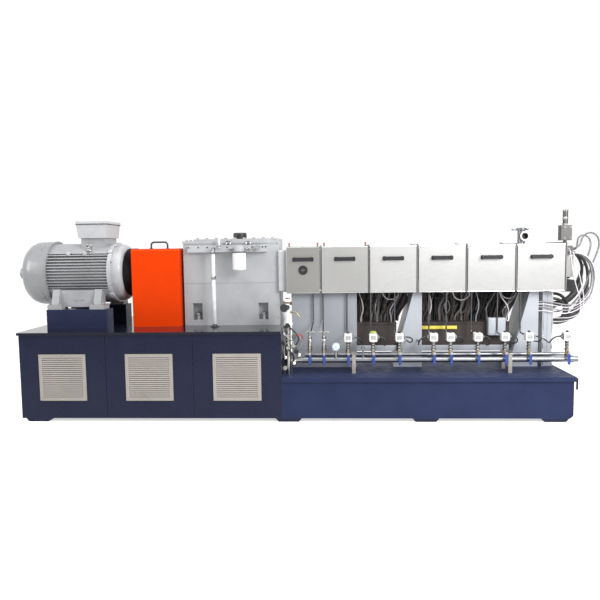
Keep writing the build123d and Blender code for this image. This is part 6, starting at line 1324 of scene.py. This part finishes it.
class EXTRUDER_OT_stage(bpy.types.Operator):
    """Camera, white floor and surroundings, and soft lamps."""
    bl_idname = "extruder.stage"
    bl_label = "Studio"

    def execute(self, context):
        studio = context.scene.extruder_studio
        self.camera(studio)
        self.floor()
        self.surroundings()
        self.lamp("key lamp", (3.2, -3.4, 3.0), (1.3, 0.0, 0.9), (2.0, 2.0), studio.key)
        self.lamp("overhead lamp", (0.0, -1.2, 4.6), (0.0, 0.0, 0.6), (6.0, 2.4), studio.fill)
        self.lamp("left lamp", (-4.6, -2.0, 2.4), (-1.9, 0.0, 1.0), (1.6, 1.6), studio.fill * 0.42)
        context.scene.view_settings.view_transform = "Standard"
        return {"FINISHED"}

    def camera(self, studio):
        """Camera from its turn, tilt and roll: forward, right and up, each square to the others."""
        forward = Vector((-math.sin(studio.yaw) * math.cos(studio.pitch),
                          math.cos(studio.yaw) * math.cos(studio.pitch), -math.sin(studio.pitch)))
        level = Vector((math.cos(studio.yaw), math.sin(studio.yaw), 0))
        upright = level.cross(forward)
        right = math.cos(studio.roll) * level + math.sin(studio.roll) * upright
        up = -math.sin(studio.roll) * level + math.cos(studio.roll) * upright
        data = bpy.data.cameras.new("camera")
        data.lens = studio.lens
        data.sensor_width = 36
        camera = bpy.data.objects.new("camera", data)
        camera.matrix_world = Matrix.Translation(studio.place) @ Matrix((right, up, -forward)).transposed().to_4x4()
        bpy.context.scene.collection.objects.link(camera)
        bpy.context.scene.camera = camera

    def floor(self):
        """Level disc: x = r cos a, y = r sin a."""
        angle = np.linspace(0, 2 * math.pi, 64, endpoint=False)[None, :]
        radius = np.array([0.0, FLOOR_RADIUS])[:, None]
        points = np.stack([radius * np.cos(angle), radius * np.sin(angle), 0 * radius * angle], axis=-1)
        vertices, quads = grid(points, close_columns=True)
        mesh = bpy.data.meshes.new("floor")
        mesh.from_pydata(vertices.tolist(), [], quads.tolist())
        material, shader = new_finish("white floor")
        tree = material.node_tree
        tree.links.new(ramp(tree, noise_at(tree, 1.4, 2.0), (0.93, 0.93, 0.93), (0.95, 0.95, 0.95)),
                       shader.inputs["Base Color"])
        set_inputs(shader, Roughness=0.62, Emission_Color=(1, 1, 1, 1))
        rays = tree.nodes.new("ShaderNodeLightPath")
        glow = set_inputs(tree.nodes.new("ShaderNodeMapRange"), To_Min=FLOOR_GLOW[0], To_Max=FLOOR_GLOW[1])
        tree.links.new(rays.outputs["Is Camera Ray"], glow.inputs["Value"])
        tree.links.new(glow.outputs["Result"], shader.inputs["Emission Strength"])
        mesh.materials.append(material)
        floor = bpy.data.objects.new("floor", mesh)
        bpy.context.scene.collection.objects.link(floor)

    def surroundings(self):
        """White for the camera and for reflections, softer for light."""
        world = bpy.data.worlds.new("studio")
        world.use_nodes = True
        bpy.context.scene.world = world
        tree = world.node_tree
        background = set_inputs(tree.nodes["Background"], Color=(1, 1, 1, 1))
        rays = tree.nodes.new("ShaderNodeLightPath")
        shiny = tree.nodes.new("ShaderNodeMath")
        shiny.operation = "MAXIMUM"
        tree.links.new(rays.outputs["Is Glossy Ray"], shiny.inputs[0])
        tree.links.new(rays.outputs["Is Transmission Ray"], shiny.inputs[1])
        seen = tree.nodes.new("ShaderNodeMath")
        seen.operation = "MAXIMUM"
        tree.links.new(rays.outputs["Is Camera Ray"], seen.inputs[0])
        tree.links.new(shiny.outputs[0], seen.inputs[1])
        strength = set_inputs(tree.nodes.new("ShaderNodeMapRange"), To_Min=WORLD_GLOW[0], To_Max=WORLD_GLOW[1])
        tree.links.new(seen.outputs[0], strength.inputs["Value"])
        tree.links.new(strength.outputs["Result"], background.inputs["Strength"])

    def lamp(self, name, place, target, size, power):
        """A soft rectangular lamp aimed at a point."""
        data = bpy.data.lights.new(name, "AREA")
        data.shape = "RECTANGLE"
        data.size, data.size_y = size
        data.energy = power
        lamp = bpy.data.objects.new(name, data)
        aim = (Vector(target) - Vector(place)).to_track_quat("-Z", "Y").to_matrix().to_4x4()
        lamp.matrix_world = Matrix.Translation(place) @ aim
        bpy.context.scene.collection.objects.link(lamp)


class EXTRUDER_PT_panel(bpy.types.Panel):
    """Steps and settings of the machine in the sidebar."""
    bl_label = "Extruder"
    bl_idname = "EXTRUDER_PT_panel"
    bl_space_type = "VIEW_3D"
    bl_region_type = "UI"
    bl_category = "Extruder"

    def draw(self, context):
        for step in STEPS:
            self.layout.operator(step.bl_idname)
        for group in SETTINGS:
            settings = getattr(context.scene, group)
            for name in settings.__annotations__:
                self.layout.prop(settings, name)


STEPS = (
    EXTRUDER_OT_stage, EXTRUDER_OT_sensor_cords, EXTRUDER_OT_barrel_cords, EXTRUDER_OT_finishes,
    EXTRUDER_OT_base_trim, EXTRUDER_OT_motor_trim, EXTRUDER_OT_drive_trim, EXTRUDER_OT_cover_trim,
    EXTRUDER_OT_valve_trim, EXTRUDER_OT_pipe_trim, EXTRUDER_OT_inlet_trim, EXTRUDER_OT_wiring_trim,
)
SETTINGS = {
    "extruder_paint": PaintSettings, "extruder_cords": CordSettings, "extruder_fasteners": FastenerSettings,
    "extruder_studio": StudioSettings,
}


def register():
    """Registers the settings, the steps and the panel."""
    for name, group in SETTINGS.items():
        bpy.utils.register_class(group)
        setattr(bpy.types.Scene, name, PointerProperty(type=group))
    for step in (*STEPS, EXTRUDER_PT_panel):
        bpy.utils.register_class(step)


def unregister():
    """Takes the panel, the steps and the settings away."""
    for step in reversed((*STEPS, EXTRUDER_PT_panel)):
        bpy.utils.unregister_class(step)
    for name, group in reversed(SETTINGS.items()):
        delattr(bpy.types.Scene, name)
        bpy.utils.unregister_class(group)


def main():
    """Runs every step in order."""
    register()
    for step in STEPS:
        group, name = step.bl_idname.split(".")
        getattr(getattr(bpy.ops, group), name)()
    bpy.context.view_layer.update()


if __name__ == "__main__":
    main()
